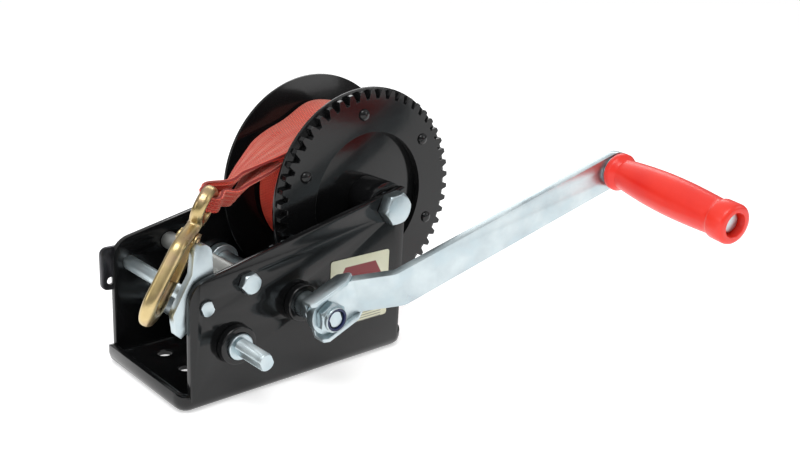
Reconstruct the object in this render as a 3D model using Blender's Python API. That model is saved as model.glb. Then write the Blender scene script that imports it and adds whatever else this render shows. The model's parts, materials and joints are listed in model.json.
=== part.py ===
"""Two-speed hand winch for a boat trailer, built as separate pieces.

Metres, +Z up.  X runs from the strap end (front) to the drum end (rear),
Y runs along the shafts, with the crank on the -Y side.  The origin is the
middle of the base's underside.
"""
import bpy
import bmesh
from math import acos, atan2, cos, pi, radians, sin, tan
from mathutils import Matrix, Vector

# ---------------------------------------------------------------- frame
PLATE = 0.004                 # pressed sheet thickness
FRAME_WIDTH = 0.104           # over the outsides of the side plates
FRAME_LENGTH = 0.175          # side plates, front edge to rear edge
FRONT_HEIGHT = 0.085          # where the sloping top edge meets the front edge
REAR_HEIGHT = 0.125
LIP_REACH = 0.0074            # upturned lips, beyond the plates' edges
LIP_HEIGHT = 0.0145
BEND_RADIUS = 0.007           # outside radius of the base's bends
FRONT_CORNER_RADIUS = 0.016
REAR_CORNER_RADIUS = 0.003
BASE_HOLE = 0.011             # mounting holes for M10 bolts
BASE_HOLE_INSET = 0.027       # hole rows from the plates' front and rear edges
BASE_HOLE_SPREAD = 0.029      # outer holes either side of the middle
TAB_THICK = 0.003             # small plate outside the far side
LABEL_THICK = 0.0004
LABEL_BACK = 0.1085           # its front edge, behind the plates' front edge
LABEL_LENGTH = 0.053
LABEL_LOW = 0.030
LABEL_HEIGHT = 0.050

# ---------------------------------------------------------------- gears
MODULE = 0.003
PRESSURE_ANGLE = radians(20)
UNDERCUT = 0.0002             # relief below the base circle, each side
BACKLASH = 0.0003             # taken off each tooth's width on the pitch circle
DRUM_TEETH = 51
WHEEL_TEETH = 24              # on the crank shaft, driven by the low shaft
PINION_TEETH = 12             # one pinion on each shaft
DRUM_GEAR_THICK = 0.005
PINION_FACE = 0.0095          # on the crank shaft
LOW_PINION_FACE = 0.0122      # on the low shaft, wide enough for the pawl too
WHEEL_THICK = 0.0065
WHEEL_ADDENDUM = 0.75         # stub teeth, in modules, so that 12 teeth run clear

# ---------------------------------------------------------------- axes
# Distances behind the plates' front edge, and heights above the floor.
DRUM_BACK = 0.161
DRUM_UP = 0.1115
CRANK_ANGLE = radians(214.6)   # from the drum axle to the crank shaft
LOW_ANGLE = radians(198.5)     # from the crank shaft to the low shaft
FRONT_ROD_BACK = 0.012
FRONT_ROD_UP = 0.069
SPACER_BACK = 0.042
SPACER_UP = 0.080

# ---------------------------------------------------------------- drum
FLANGE_RADIUS = 0.080
FLANGE_THICK = 0.0025
NEAR_FLANGE_FACE = -0.024     # outside face of the crank-side flange
DRUM_INSIDE = 0.0583          # between the flanges
CORE_RADIUS = 0.021
CORE_WALL = 0.0035
AXLE_DIAMETER = 0.014
AXLE_FLATS = 0.021            # across the flats of its head and nut
AXLE_HEAD = 0.0095
AXLE_NUT = 0.0115
GEAR_RING_BORE = 0.049
RIVET_CIRCLE = 0.0625
RIVETS = 6
RIVET = 0.005                 # shank diameter
SLEEVE_OUTER = 0.020
HUB_RADIUS = 0.0165
COIL_RADIUS = 0.055
STRAP_MIDDLE = 0.00765
STRAP_WIDTH = 0.050
STRAP_THICK = 0.0022

# ---------------------------------------------------------------- shafts
SHAFT_DIAMETER = 0.016
STUB_DIAMETER = 0.012         # threaded end with two flats
STUB_FLATS = 0.009
SHOULDER_DIAMETER = 0.0175
BUSH_DIAMETER = 0.026
BUSH_STANDOFF = 0.006
BUSH_SPIGOT = 0.020
LOW_SHOULDER = 0.0085         # low shaft's shoulder beyond the side plate
LOW_STUB_REACH = 0.036        # shaft end beyond the side plate
CRANK_STUB_REACH = 0.0385
SHAFT_TAIL = 0.0045           # shaft end beyond the far bush
GROOVE_BACK = 0.0030          # circlip's groove, from the shaft's far end
GROOVE_WIDTH = 0.0014
GROOVE_DEPTH = 0.0010
CIRCLIP_BAND = 0.0028
COLLAR_DIAMETER = 0.025       # collar beside the far plate, on the crank shaft
COLLAR_WIDTH = 0.0069

# ---------------------------------------------------------------- rods
FRONT_ROD_DIAMETER = 0.010
FRONT_ROD_FLATS = 0.008
ROD_PROUD = 0.0015
SPACER_DIAMETER = 0.0125
SPACER_BORE = 0.0085
SPACER_BOLT = 0.008
SPACER_FLATS = 0.013          # across the flats of its head and nut
SPACER_HEAD = 0.0053
SPACER_NUT = 0.0068

# ---------------------------------------------------------------- crank
CRANK_TURN = radians(22.2)    # arm's direction above +X
ARM_WIDTH = 0.0254
ARM_THICK = 0.006
ARM_FACE = 0.0305             # arm's outer face beyond the side plate, at the hub
ARM_HUB_RUN = 0.0217          # shaft to the first bend
ARM_OFFSET_RUN = 0.0328       # between the bends
ARM_OFFSET_LEAN = radians(47.9)
ARM_LEAN = radians(12.4)      # outward lean of the long stretch
ARM_RUN = 0.1846              # second bend to the grip's pin
BRACKET_SHEET = 0.003
BRACKET_RISE = 0.0035         # flanges beyond the arm's face
BRACKET_TAIL = 0.010
BRACKET_NOSE = 0.027
NUT_FLATS = 0.0185
NUT_HEX = 0.0062
NUT_COLLAR = 0.0168
NUT_COLLAR_HEIGHT = 0.0030
RING_RADIUS = 0.0074          # nylon ring in the nut
RING_DEPTH = 0.0024

# ---------------------------------------------------------------- grip
GRIP_LENGTH = 0.108
GRIP_COLLAR = 0.0272
GRIP_WAIST = 0.0215
GRIP_BELLY = 0.0272
GRIP_BORE = 0.0106
GRIP_RECESS = 0.0165
PIN_DIAMETER = 0.010
PIN_HEAD = 0.0145
GRIP_WASHER = 0.0012

# ---------------------------------------------------------------- pawl
PAWL_THICK = 0.006
PAWL_LEVER = 0.0397           # pivot to the lever's top
PAWL_LEVER_WIDTH = 0.013
PAWL_FINGER = 0.0239          # pivot to the forward finger's tip
PAWL_LOW = -0.0467            # crank-side face
SPRING_WIRE = 0.0014
SPRING_TURNS = 5
PAWL_SPRING_LENGTH = 0.0095

# ---------------------------------------------------------------- hook
HOOK_EYE = (0.0268, -0.0245, 0.1255)   # eye's centre: back, across, up
HOOK_SHANK = (0.5907, 0.1244, 0.7969)  # shank's direction, towards the eye
HOOK_MOUTH = (0.5320, 0.6826, -0.5009)  # roughly where the mouth faces
STRAP_PULL = radians(43)      # from the shank's line towards the mouth, where the strap leaves the eye
HOOK_BAR = 0.009
HOOK_BOWL_DEPTH = 0.0115      # bar's depth at the bottom of the bowl
HOOK_TIP_DEPTH = 0.007
HOOK_LENGTH = 0.0965          # top of the eye to the bottom of the bowl
HOOK_BOWL_RADIUS = 0.013      # bar's centre line
HOOK_TIP_RISE = 0.0335        # nose tip above the bottom of the bowl
EYE_HOLE = 0.0165
EYE_OUTER = 0.028
EYE_THICK = 0.008
LATCH_SHEET = 0.0012
LATCH_PIVOT = (0.0008, -0.0225)        # in the hook's plane, from the eye
LATCH_END = -0.0500
LATCH_RIVET = 0.004
LATCH_WIRE = 0.0007
LUG_WIDTH = 0.003

# ---------------------------------------------------------------- fits
GAP = 0.0003                  # between pieces that touch
RUNNING = 0.0002              # radial, between pieces that turn on each other
SIDE_PLAY = 0.0006            # end float between turning faces

HALF_WIDTH = FRAME_WIDTH / 2
INNER = HALF_WIDTH - PLATE
FRONT_X = -FRAME_LENGTH / 2
REAR_X = FRAME_LENGTH / 2


def pitch_radius(teeth):
    return teeth * MODULE / 2


def back(distance):
    """World X of a distance behind the plates' front edge."""
    return FRONT_X + distance


DRUM_AXIS = Vector((back(DRUM_BACK), 0, DRUM_UP))
DRUM_TO_CRANK = pitch_radius(DRUM_TEETH + PINION_TEETH)
CRANK_TO_LOW = pitch_radius(WHEEL_TEETH + PINION_TEETH)
CRANK_AXIS = DRUM_AXIS + DRUM_TO_CRANK * Vector((cos(CRANK_ANGLE), 0, sin(CRANK_ANGLE)))
LOW_AXIS = CRANK_AXIS + CRANK_TO_LOW * Vector((cos(LOW_ANGLE), 0, sin(LOW_ANGLE)))
ROD_AXIS = Vector((back(FRONT_ROD_BACK), 0, FRONT_ROD_UP))
SPACER_AXIS = Vector((back(SPACER_BACK), 0, SPACER_UP))

FAR_FLANGE_FACE = NEAR_FLANGE_FACE + 2 * FLANGE_THICK + DRUM_INSIDE
NEAR_FLANGE_INSIDE = NEAR_FLANGE_FACE + FLANGE_THICK
FAR_FLANGE_INSIDE = FAR_FLANGE_FACE - FLANGE_THICK
DRUM_GEAR_BACK = NEAR_FLANGE_FACE - GAP
DRUM_GEAR_FACE = DRUM_GEAR_BACK - DRUM_GEAR_THICK
PINION_BACK = NEAR_FLANGE_FACE - SIDE_PLAY
WHEEL_BACK = PINION_BACK - PINION_FACE - GAP
WHEEL_FACE = WHEEL_BACK - WHEEL_THICK

for old in list(bpy.data.objects):
    bpy.data.objects.remove(old, do_unlink=True)


# ---------------------------------------------------------------- materials
def material(name, color, roughness, metallic):
    mat = bpy.data.materials.new(name)
    mat.use_nodes = True
    shader = mat.node_tree.nodes["Principled BSDF"]
    shader.inputs["Base Color"].default_value = (*color, 1)
    shader.inputs["Roughness"].default_value = roughness
    shader.inputs["Metallic"].default_value = metallic
    mat.diffuse_color = (*color, 1)
    return mat


BLACK_PAINT = material("black_paint", (0.012, 0.012, 0.013), 0.2, 0.0)
ZINC = material("zinc_plate", (0.62, 0.65, 0.68), 0.3, 1.0)
GREY_ZINC = material("grey_zinc", (0.45, 0.46, 0.44), 0.45, 1.0)
GOLD_ZINC = material("yellow_zinc", (0.72, 0.55, 0.28), 0.3, 1.0)
DARK_STEEL = material("dark_steel", (0.08, 0.08, 0.085), 0.4, 1.0)
RED_PLASTIC = material("red_plastic", (0.80, 0.035, 0.02), 0.4, 0.0)
RED_WEBBING = material("red_webbing", (0.70, 0.06, 0.03), 0.7, 0.0)
BLUE_NYLON = material("blue_nylon", (0.02, 0.03, 0.12), 0.4, 0.0)
LABEL_PAPER = material("label_paper", (0.72, 0.68, 0.52), 0.5, 0.0)


# ---------------------------------------------------------------- mesh helpers
def add_object(name, bm, mat, axis=None, smooth=None):
    """Turn a bmesh into an object; axis becomes its origin."""
    if axis is not None:
        bmesh.ops.translate(bm, verts=bm.verts, vec=-Vector(axis))
    bmesh.ops.recalc_face_normals(bm, faces=bm.faces)
    mesh = bpy.data.meshes.new(name)
    bm.to_mesh(mesh)
    bm.free()
    if smooth is not None:
        mesh.shade_smooth()
        mesh.set_sharp_from_angle(angle=smooth)
    obj = bpy.data.objects.new(name, mesh)
    bpy.context.scene.collection.objects.link(obj)
    mesh.materials.append(mat)
    if axis is not None:
        obj.location = axis
    return obj


ROUND = radians(35)


def lathe(profile, center, steps):
    """Revolve (radius, y) points about the Y axis through center.

    The points run round a closed section, or from axis to axis.
    """
    bm = bmesh.new()
    rings = []
    for radius, y in profile:
        if radius < 1e-7:
            rings.append([bm.verts.new((center.x, y, center.z))])
            continue
        ring = []
        for k in range(steps):
            turn = 2 * pi * k / steps
            ring.append(bm.verts.new((center.x + radius * cos(turn), y, center.z + radius * sin(turn))))
        rings.append(ring)
    pairs = list(zip(rings, rings[1:]))
    if profile[0][0] >= 1e-7:
        pairs.append((rings[-1], rings[0]))
    for one, two in pairs:
        for k in range(steps):
            nxt = (k + 1) % steps
            if len(one) == 1:
                bm.faces.new((one[0], two[k], two[nxt]))
            elif len(two) == 1:
                bm.faces.new((one[k], two[0], one[nxt]))
            else:
                bm.faces.new((one[k], two[k], two[nxt], one[nxt]))
    return bm


def prism(outline, low, high, place=None):
    """Extrude (x, z) points along Y from low to high, then move by place."""
    bm = bmesh.new()
    near = [bm.verts.new((x, low, z)) for x, z in outline]
    far = [bm.verts.new((x, high, z)) for x, z in outline]
    bm.faces.new(near)
    bm.faces.new(list(reversed(far)))
    count = len(outline)
    for k in range(count):
        nxt = (k + 1) % count
        bm.faces.new((near[k], far[k], far[nxt], near[nxt]))
    if place is not None:
        bmesh.ops.transform(bm, matrix=place, verts=bm.verts)
    return bm


def arc(cx, cz, radius, start, end, steps):
    """Points round an arc, both ends included, angles in degrees."""
    turns = [radians(start + (end - start) * k / steps) for k in range(steps + 1)]
    return [(cx + radius * cos(t), cz + radius * sin(t)) for t in turns]


def loft(sections, close=False):
    """Skin equal rings of points; open ends are capped."""
    bm = bmesh.new()
    rings = [[bm.verts.new(p) for p in ring] for ring in sections]
    pairs = list(zip(rings, rings[1:]))
    if close:
        pairs.append((rings[-1], rings[0]))
    for one, two in pairs:
        count = len(one)
        for k in range(count):
            nxt = (k + 1) % count
            bm.faces.new((one[k], two[k], two[nxt], one[nxt]))
    if not close:
        bm.faces.new(rings[0])
        bm.faces.new(list(reversed(rings[-1])))
    return bm


def cutter(name, bm, axis=None):
    obj = add_object("cut_" + name, bm, DARK_STEEL, axis)
    obj.hide_render = True
    obj.display_type = "WIRE"
    return obj


def boolean(obj, tool, operation="DIFFERENCE", solver="EXACT"):
    mod = obj.modifiers.new(tool.name, "BOOLEAN")
    mod.object = tool
    mod.operation = operation
    mod.solver = solver
    return mod


def drill(name, center, radius, low, high, steps=24):
    """A round cutter along Y."""
    return cutter(name, lathe([(0, low), (radius, low), (radius, high), (0, high)], center, steps))


def flatted(center, radius, flats, turn, steps):
    """(x, z) points of a circle with two parallel flats; turn is the flats' normal."""
    half = acos(flats / 2 / radius)
    points = []
    for side in (0, pi):
        for k in range(steps + 1):
            t = turn + side + half + (pi - 2 * half) * k / steps
            points.append((center.x + radius * cos(t), center.z + radius * sin(t)))
    return points


def hexagon(center, flats, turn):
    radius = flats / 2 / cos(pi / 6)
    return [(center.x + radius * cos(turn + k * pi / 3), center.z + radius * sin(turn + k * pi / 3))
            for k in range(6)]


def unite(first, second, solver="EXACT"):
    """Union modifier that adds the second object's solid to the first."""
    second.hide_render = True
    second.display_type = "WIRE"
    return boolean(first, second, "UNION", solver)


# ---------------------------------------------------------------- frame
def rounded_rectangle(x0, x1, y0, y1, radius, steps=4):
    corners = ((x1 - radius, y1 - radius, 0), (x0 + radius, y1 - radius, 90),
               (x0 + radius, y0 + radius, 180), (x1 - radius, y0 + radius, 270))
    points = []
    for cx, cy, start in corners:
        points += arc(cx, cy, radius, start, start + 90, steps)
    return points


def tray_ring(inset, height, drop=0.0):
    """A ring of the base tray; drop lowers it towards the corners."""
    x1 = REAR_X + LIP_REACH - inset
    y1 = HALF_WIDTH - inset
    radius = max(0.0095 - inset, 0.003)
    ring = []
    for x, y in rounded_rectangle(-x1, x1, -y1, y1, radius):
        near_corner = max(0.0, abs(y) - 0.036) / (HALF_WIDTH - 0.036)
        ring.append((x, y, height - drop * near_corner ** 2))
    return ring


def side_outline():
    """Side plate above the base bend, rear bottom corner first."""
    slope = atan2(REAR_HEIGHT - FRONT_HEIGHT, FRAME_LENGTH)
    rise = tan(slope)
    front_run = FRONT_CORNER_RADIUS * tan(pi / 4 - slope / 2)
    fx = FRONT_X + FRONT_CORNER_RADIUS
    fz = FRONT_HEIGHT - front_run
    rear_run = REAR_CORNER_RADIUS * tan(pi / 4 + slope / 2)
    rx = REAR_X - REAR_CORNER_RADIUS
    rz = FRONT_HEIGHT + rise * FRAME_LENGTH - rear_run
    base = BEND_RADIUS + 0.001
    points = [(REAR_X, base)]
    points += arc(rx, rz, REAR_CORNER_RADIUS, 0, 90 + slope * 180 / pi, 3)
    points += arc(fx, fz, FRONT_CORNER_RADIUS, 90 + slope * 180 / pi, 180, 8)
    points.append((FRONT_X, base))
    return points


def build_frame():
    rings = []
    for k in range(4):
        turn = pi / 2 * k / 3
        rings.append(tray_ring(BEND_RADIUS * (1 - sin(turn)), BEND_RADIUS * (1 - cos(turn))))
    rings.append(tray_ring(0, LIP_HEIGHT, 0.0045))
    rings.append(tray_ring(PLATE, LIP_HEIGHT, 0.0045))
    inner = BEND_RADIUS - PLATE
    for k in range(3):
        turn = pi / 2 * (1 - k / 2)
        rings.append(tray_ring(PLATE + inner * (1 - sin(turn)), PLATE + inner * (1 - cos(turn))))
    frame = add_object("frame", loft(rings), BLACK_PAINT)
    outline = side_outline()
    for side, low in (("near", -HALF_WIDTH), ("far", INNER)):
        plate = add_object(f"cut_{side}_plate", prism(outline, low, low + PLATE), BLACK_PAINT)
        unite(frame, plate, "MANIFOLD")
    holes = []
    for x in (FRONT_X + BASE_HOLE_INSET, REAR_X - BASE_HOLE_INSET):
        for y in (-BASE_HOLE_SPREAD, 0, BASE_HOLE_SPREAD):
            holes.append((x, y))
    for k, (x, y) in enumerate(holes):
        pin = lathe([(0, -0.002), (BASE_HOLE / 2, -0.002), (BASE_HOLE / 2, 0.02), (0, 0.02)], Vector(), 16)
        turned = Matrix.Translation((x, y, 0)) @ Matrix.Rotation(pi / 2, 4, "X")
        bmesh.ops.transform(pin, matrix=turned, verts=pin.verts)
        boolean(frame, cutter(f"base_hole_{k}", pin))
    reach = HALF_WIDTH + 0.002
    across = (
        ("axle_hole", DRUM_AXIS, AXLE_DIAMETER / 2 + GAP),
        ("crank_holes", CRANK_AXIS, BUSH_SPIGOT / 2 + GAP),
        ("low_holes", LOW_AXIS, BUSH_SPIGOT / 2 + GAP),
        ("spacer_holes", SPACER_AXIS, SPACER_BOLT / 2 + GAP),
    )
    for name, axis, radius in across:
        boolean(frame, drill(name, axis, radius, -reach, reach, 18))
    rod = flatted(ROD_AXIS, FRONT_ROD_DIAMETER / 2 + GAP, FRONT_ROD_FLATS + 2 * GAP, CRANK_TURN, 10)
    boolean(frame, cutter("rod_holes", prism(rod, -reach, reach)))


def build_side_tab():
    """Small plate outside the far side, held by the front rod's end."""
    low = HALF_WIDTH + GAP
    x0, x1 = back(-0.007), back(0.021)
    outline = rounded_rectangle(x0, x1, 0.0500, 0.0810, 0.005)
    tab = add_object("side_tab", prism(outline, low, low + TAB_THICK), DARK_STEEL)
    eye = Vector((back(0), 0, 0.0565))
    boolean(tab, drill("tab_eye", eye, 0.0028, low - 0.001, low + 0.01, 16))
    rod = flatted(ROD_AXIS, FRONT_ROD_DIAMETER / 2 + GAP, FRONT_ROD_FLATS + 2 * GAP, CRANK_TURN, 10)
    boolean(tab, cutter("tab_rod", prism(rod, low - 0.001, low + 0.01)))


def build_label():
    low = -HALF_WIDTH - GAP - LABEL_THICK
    outline = rounded_rectangle(back(LABEL_BACK), back(LABEL_BACK + LABEL_LENGTH),
                                LABEL_LOW, LABEL_LOW + LABEL_HEIGHT, 0.002, 3)
    add_object("label", prism(outline, low, low + LABEL_THICK), LABEL_PAPER)


# ---------------------------------------------------------------- rods
def build_rods():
    far = HALF_WIDTH + GAP + TAB_THICK + ROD_PROUD
    near = -HALF_WIDTH - ROD_PROUD
    bar = lathe([(0, GAP - INNER), (FRONT_ROD_DIAMETER / 2, GAP - INNER),
                 (FRONT_ROD_DIAMETER / 2, INNER - GAP), (0, INNER - GAP)], ROD_AXIS, 18)
    rod = add_object("front_rod", bar, ZINC)
    ends = flatted(ROD_AXIS, FRONT_ROD_DIAMETER / 2 - GAP / 3, FRONT_ROD_FLATS, CRANK_TURN, 8)
    unite(rod, add_object("cut_rod_ends", prism(ends, near, far), ZINC))
    inside = INNER - GAP
    wall = [(SPACER_BORE / 2, -inside), (SPACER_DIAMETER / 2, -inside),
            (SPACER_DIAMETER / 2, inside), (SPACER_BORE / 2, inside)]
    add_object("spacer_tube", lathe(wall, SPACER_AXIS, 18), GREY_ZINC)
    bolt_and_nut("spacer", SPACER_AXIS, SPACER_BOLT, SPACER_FLATS, SPACER_HEAD, SPACER_NUT, ZINC)


def bolt_and_nut(name, axis, diameter, flats, head, nut, mat):
    """A hexagon bolt through both side plates, head on the crank side."""
    near = -HALF_WIDTH - GAP
    far = HALF_WIDTH + GAP
    radius = diameter / 2
    tip = far + nut + 0.003
    shank = [(0, near), (radius, near), (radius, tip - 0.001), (radius - 0.001, tip), (0, tip)]
    bolt = add_object(name + "_bolt", lathe(shank, axis, 16), mat)
    sides = prism(hexagon(axis, flats, radians(8)), near - head, near + GAP / 3)
    crown = add_object(f"cut_{name}_head", sides, mat)
    corner = flats / 2 / cos(pi / 6)
    turned = [(0, near - head - 0.001), (flats / 2 - 0.0003, near - head - 0.001),
              (flats / 2 - 0.0003, near - head), (corner + 0.0004, near - head + 0.0018),
              (corner + 0.0004, far), (0, far)]
    boolean(crown, cutter(name + "_crown", lathe(turned, axis, 18)), "INTERSECT")
    unite(bolt, crown)
    body = add_object(name + "_nut", prism(hexagon(axis, flats, radians(22)), far, far + nut), mat)
    rounding = [(0, far - 0.001), (flats / 2, far - 0.001), (corner + 0.0003, far + 0.0012),
                (corner + 0.0003, far + nut - 0.0012), (flats / 2, far + nut + 0.0001),
                (0, far + nut + 0.001)]
    boolean(body, cutter(name + "_nut_edge", lathe(rounding, axis, 18)), "INTERSECT")
    boolean(body, drill(name + "_thread", axis, radius + GAP / 2, far - 0.002, far + nut + 0.003, 16))


# ---------------------------------------------------------------- drum
def flange(name, low):
    """A flat disc riding on the axle sleeve."""
    bore = SLEEVE_OUTER / 2 + RUNNING
    return tube(name, DRUM_AXIS, bore, FLANGE_RADIUS, low, low + FLANGE_THICK, BLACK_PAINT, 56)


def rivet_places():
    start = CRANK_ANGLE + pi / DRUM_TEETH
    return [start + 2 * pi * k / RIVETS for k in range(RIVETS)]


def tube(name, axis, inner, outer, low, high, mat, steps=20, moving=True):
    profile = [(inner, low), (outer, low), (outer, high), (inner, high)]
    return add_object(name, lathe(profile, axis, steps), mat, axis if moving else None, ROUND)


def build_drum():
    sleeve = INNER - GAP
    tube("axle_sleeve", DRUM_AXIS, AXLE_DIAMETER / 2 + GAP, SLEEVE_OUTER / 2,
         -sleeve, sleeve, ZINC, 20, False)
    bolt_and_nut("axle", DRUM_AXIS, AXLE_DIAMETER, AXLE_FLATS, AXLE_HEAD, AXLE_NUT, ZINC)
    near = flange("flange_near", NEAR_FLANGE_FACE)
    flange("flange_far", FAR_FLANGE_INSIDE)
    tube("drum_core", DRUM_AXIS, CORE_RADIUS - CORE_WALL, CORE_RADIUS,
         NEAR_FLANGE_INSIDE + GAP, FAR_FLANGE_INSIDE - GAP, BLACK_PAINT)
    bore = SLEEVE_OUTER / 2 + RUNNING
    tube("hub_near", DRUM_AXIS, bore, HUB_RADIUS, -INNER + SIDE_PLAY, NEAR_FLANGE_FACE - GAP, BLACK_PAINT)
    tube("hub_far", DRUM_AXIS, bore, HUB_RADIUS, FAR_FLANGE_FACE + GAP, INNER - SIDE_PLAY, BLACK_PAINT)
    teeth = gear_outline(DRUM_TEETH, WHEEL_ADDENDUM, CRANK_ANGLE + pi / DRUM_TEETH, DRUM_AXIS)
    ring = add_object("drum_gear", prism(teeth, DRUM_GEAR_FACE, DRUM_GEAR_BACK), BLACK_PAINT,
                      DRUM_AXIS, ROUND)
    boolean(ring, drill("gear_bore", DRUM_AXIS, GEAR_RING_BORE, -0.05, 0, 40))
    for k, turn in enumerate(rivet_places(), 1):
        place = DRUM_AXIS + RIVET_CIRCLE * Vector((cos(turn), 0, sin(turn)))
        for part, owner in ((ring, "gear"), (near, "flange")):
            boolean(part, drill(f"rivet_hole_{owner}_{k}", place, RIVET / 2 + GAP, -0.05, 0, 8))
        build_rivet(f"gear_rivet_{k}", place)
    tube("strap_coil", DRUM_AXIS, CORE_RADIUS + GAP, COIL_RADIUS,
         STRAP_MIDDLE - STRAP_WIDTH / 2, STRAP_MIDDLE + STRAP_WIDTH / 2, RED_WEBBING, 40)


def build_rivet(name, place):
    face = DRUM_GEAR_FACE - GAP
    tail = NEAR_FLANGE_INSIDE + GAP
    head = RIVET * 0.85
    profile = [(0, face - 0.0024), (head * 0.55, face - 0.0020), (head * 0.9, face - 0.0010), (head, face),
               (RIVET / 2, face), (RIVET / 2, tail), (head * 0.9, tail), (head * 0.7, tail + 0.0012),
               (0, tail + 0.0014)]
    bm = lathe(profile, place, 8)
    bmesh.ops.translate(bm, verts=bm.verts, vec=-DRUM_AXIS)
    rivet = add_object(name, bm, BLACK_PAINT, None, ROUND)
    rivet.location = DRUM_AXIS


# ---------------------------------------------------------------- gears
def involute_angle(radius, base):
    if radius <= base:
        return 0.0
    ratio = acos(base / radius)
    return tan(ratio) - ratio


def gear_outline(teeth, addendum, phase, center):
    """(x, z) outline of a spur gear with one tooth centred on phase."""
    pitch = pitch_radius(teeth)
    base = pitch * cos(PRESSURE_ANGLE)
    tip = pitch + addendum * MODULE
    root = pitch - 1.25 * MODULE
    half_at_pitch = pi / 2 / teeth - BACKLASH / 2 / pitch
    half_at_base = half_at_pitch + involute_angle(pitch, base)
    low = max(base, root)
    radii = [low + (tip - low) * k / 2 for k in range(3)]
    flank = [(r, half_at_base - involute_angle(r, base)) for r in radii]
    if root < base:
        flank = [(root, half_at_base * 0.92), (base * 0.985, half_at_base - UNDERCUT / base)] + flank
    points = []
    for k in range(teeth):
        middle = phase + 2 * pi * k / teeth
        tooth = [(r, middle - a) for r, a in flank] + [(r, middle + a) for r, a in reversed(flank)]
        points += [(center.x + r * cos(t), center.z + r * sin(t)) for r, t in tooth]
    return points


def gear(name, axis, teeth, addendum, phase, low, high, mat):
    outline = gear_outline(teeth, addendum, phase, axis)
    wheel = add_object(name, prism(outline, low, high), mat, axis, ROUND)
    boolean(wheel, drill(name + "_bore", axis, SHAFT_DIAMETER / 2 + GAP, low - 0.002, high + 0.002, 16))
    return wheel


def build_gears():
    gear("drive_pinion", CRANK_AXIS, PINION_TEETH, 1.0, CRANK_ANGLE + pi,
         PINION_BACK - PINION_FACE, PINION_BACK, ZINC)
    gear("intermediate_gear", CRANK_AXIS, WHEEL_TEETH, WHEEL_ADDENDUM, LOW_ANGLE,
         WHEEL_FACE, WHEEL_BACK, ZINC)
    gear("low_pinion", LOW_AXIS, PINION_TEETH, 1.0, LOW_ANGLE + pi + pi / PINION_TEETH,
         WHEEL_BACK - LOW_PINION_FACE, WHEEL_BACK, ZINC)


# ---------------------------------------------------------------- shafts
def shaft(name, axis, shoulder, stub_reach, round_run):
    """Turned shaft: flatted stub, shoulder through the near bush, plain bar to the far bush.

    round_run is how far the stub stays fully round next to the shoulder.
    """
    stub_end = -HALF_WIDTH - stub_reach
    face = -HALF_WIDTH - shoulder
    inside = -INNER + SIDE_PLAY
    far = HALF_WIDTH + BUSH_STANDOFF + SHAFT_TAIL
    big = SHOULDER_DIAMETER / 2
    bar = SHAFT_DIAMETER / 2
    profile = [(0, face), (big - 0.0006, face), (big, face + 0.0006), (big, inside), (bar, inside),
               (bar, far - 0.001), (bar - 0.001, far), (0, far)]
    body = add_object(name, lathe(profile, axis, 18), ZINC, axis, ROUND)
    full = STUB_DIAMETER / 2
    outline = flatted(Vector(), full, STUB_FLATS, CRANK_TURN, 8)
    unite(body, on_axis(f"cut_{name}_stub", prism(outline, stub_end, face + GAP), axis))
    if round_run:
        step = lathe([(0, face - round_run), (full, face - round_run), (full, face + GAP), (0, face + GAP)],
                     Vector(), 16)
        unite(body, on_axis(f"cut_{name}_step", step, axis))
    floor = bar - GROOVE_DEPTH
    start = far - GROOVE_BACK
    ring = [(floor, start), (bar + 0.002, start),
            (bar + 0.002, start + GROOVE_WIDTH), (floor, start + GROOVE_WIDTH)]
    boolean(body, cutter(name + "_groove", lathe(ring, axis, 18)))
    return body


def on_axis(name, bm, axis):
    """An object whose mesh was built round the world's Y axis, moved to axis."""
    obj = add_object(name, bm, ZINC)
    obj.location = axis
    return obj


def circlip(name, axis):
    """Open retaining ring in the shaft's groove."""
    far = HALF_WIDTH + BUSH_STANDOFF + SHAFT_TAIL
    low = far - GROOVE_BACK + GAP
    high = far - GROOVE_BACK + GROOVE_WIDTH - GAP
    inner = SHAFT_DIAMETER / 2 - GROOVE_DEPTH + 0.0004
    outer = inner + CIRCLIP_BAND
    outline = arc(0, 0, outer, -60, 240, 15) + arc(0, 0, inner, 240, -60, 15)
    clip = add_object(name, prism(outline, low, high), DARK_STEEL, None)
    clip.location = axis


def bush(name, axis, side):
    """Flanged bush in a side plate; side is -1 near, +1 far."""
    bore = (SHOULDER_DIAMETER if side < 0 else SHAFT_DIAMETER) / 2 + RUNNING
    rim = BUSH_DIAMETER / 2
    spigot = BUSH_SPIGOT / 2
    out = HALF_WIDTH + GAP
    face = HALF_WIDTH + BUSH_STANDOFF
    profile = [(bore, INNER), (spigot, INNER), (spigot, out), (rim, out), (rim, face - 0.0010),
               (rim - 0.0010, face), (bore, face)]
    if side < 0:
        profile = [(r, -y) for r, y in profile]
    add_object(name, lathe(profile, axis, 20), BLACK_PAINT, None, ROUND)


def build_shafts():
    crank_shoulder = ARM_FACE - ARM_THICK - BRACKET_SHEET - 2 * GAP
    shaft("crank_shaft", CRANK_AXIS, crank_shoulder, CRANK_STUB_REACH, 0)
    shaft("low_shaft", LOW_AXIS, LOW_SHOULDER, LOW_STUB_REACH, 0.007)
    for name, axis in (("crank", CRANK_AXIS), ("low", LOW_AXIS)):
        bush(name + "_bush_near", axis, -1)
        bush(name + "_bush_far", axis, 1)
        circlip(name + "_circlip", axis)
    bar = SHAFT_DIAMETER / 2 + GAP
    tube("shaft_collar", CRANK_AXIS, bar, COLLAR_DIAMETER / 2,
         INNER - SIDE_PLAY - COLLAR_WIDTH, INNER - SIDE_PLAY, ZINC)


# ---------------------------------------------------------------- crank
def crank_place():
    """From the arm's own frame: X along the arm, -Y outward, at its face on the shaft."""
    hub = CRANK_AXIS + Vector((0, -HALF_WIDTH - ARM_FACE, 0))
    return Matrix.Translation(hub) @ Matrix.Rotation(-CRANK_TURN, 4, "Y")


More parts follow.
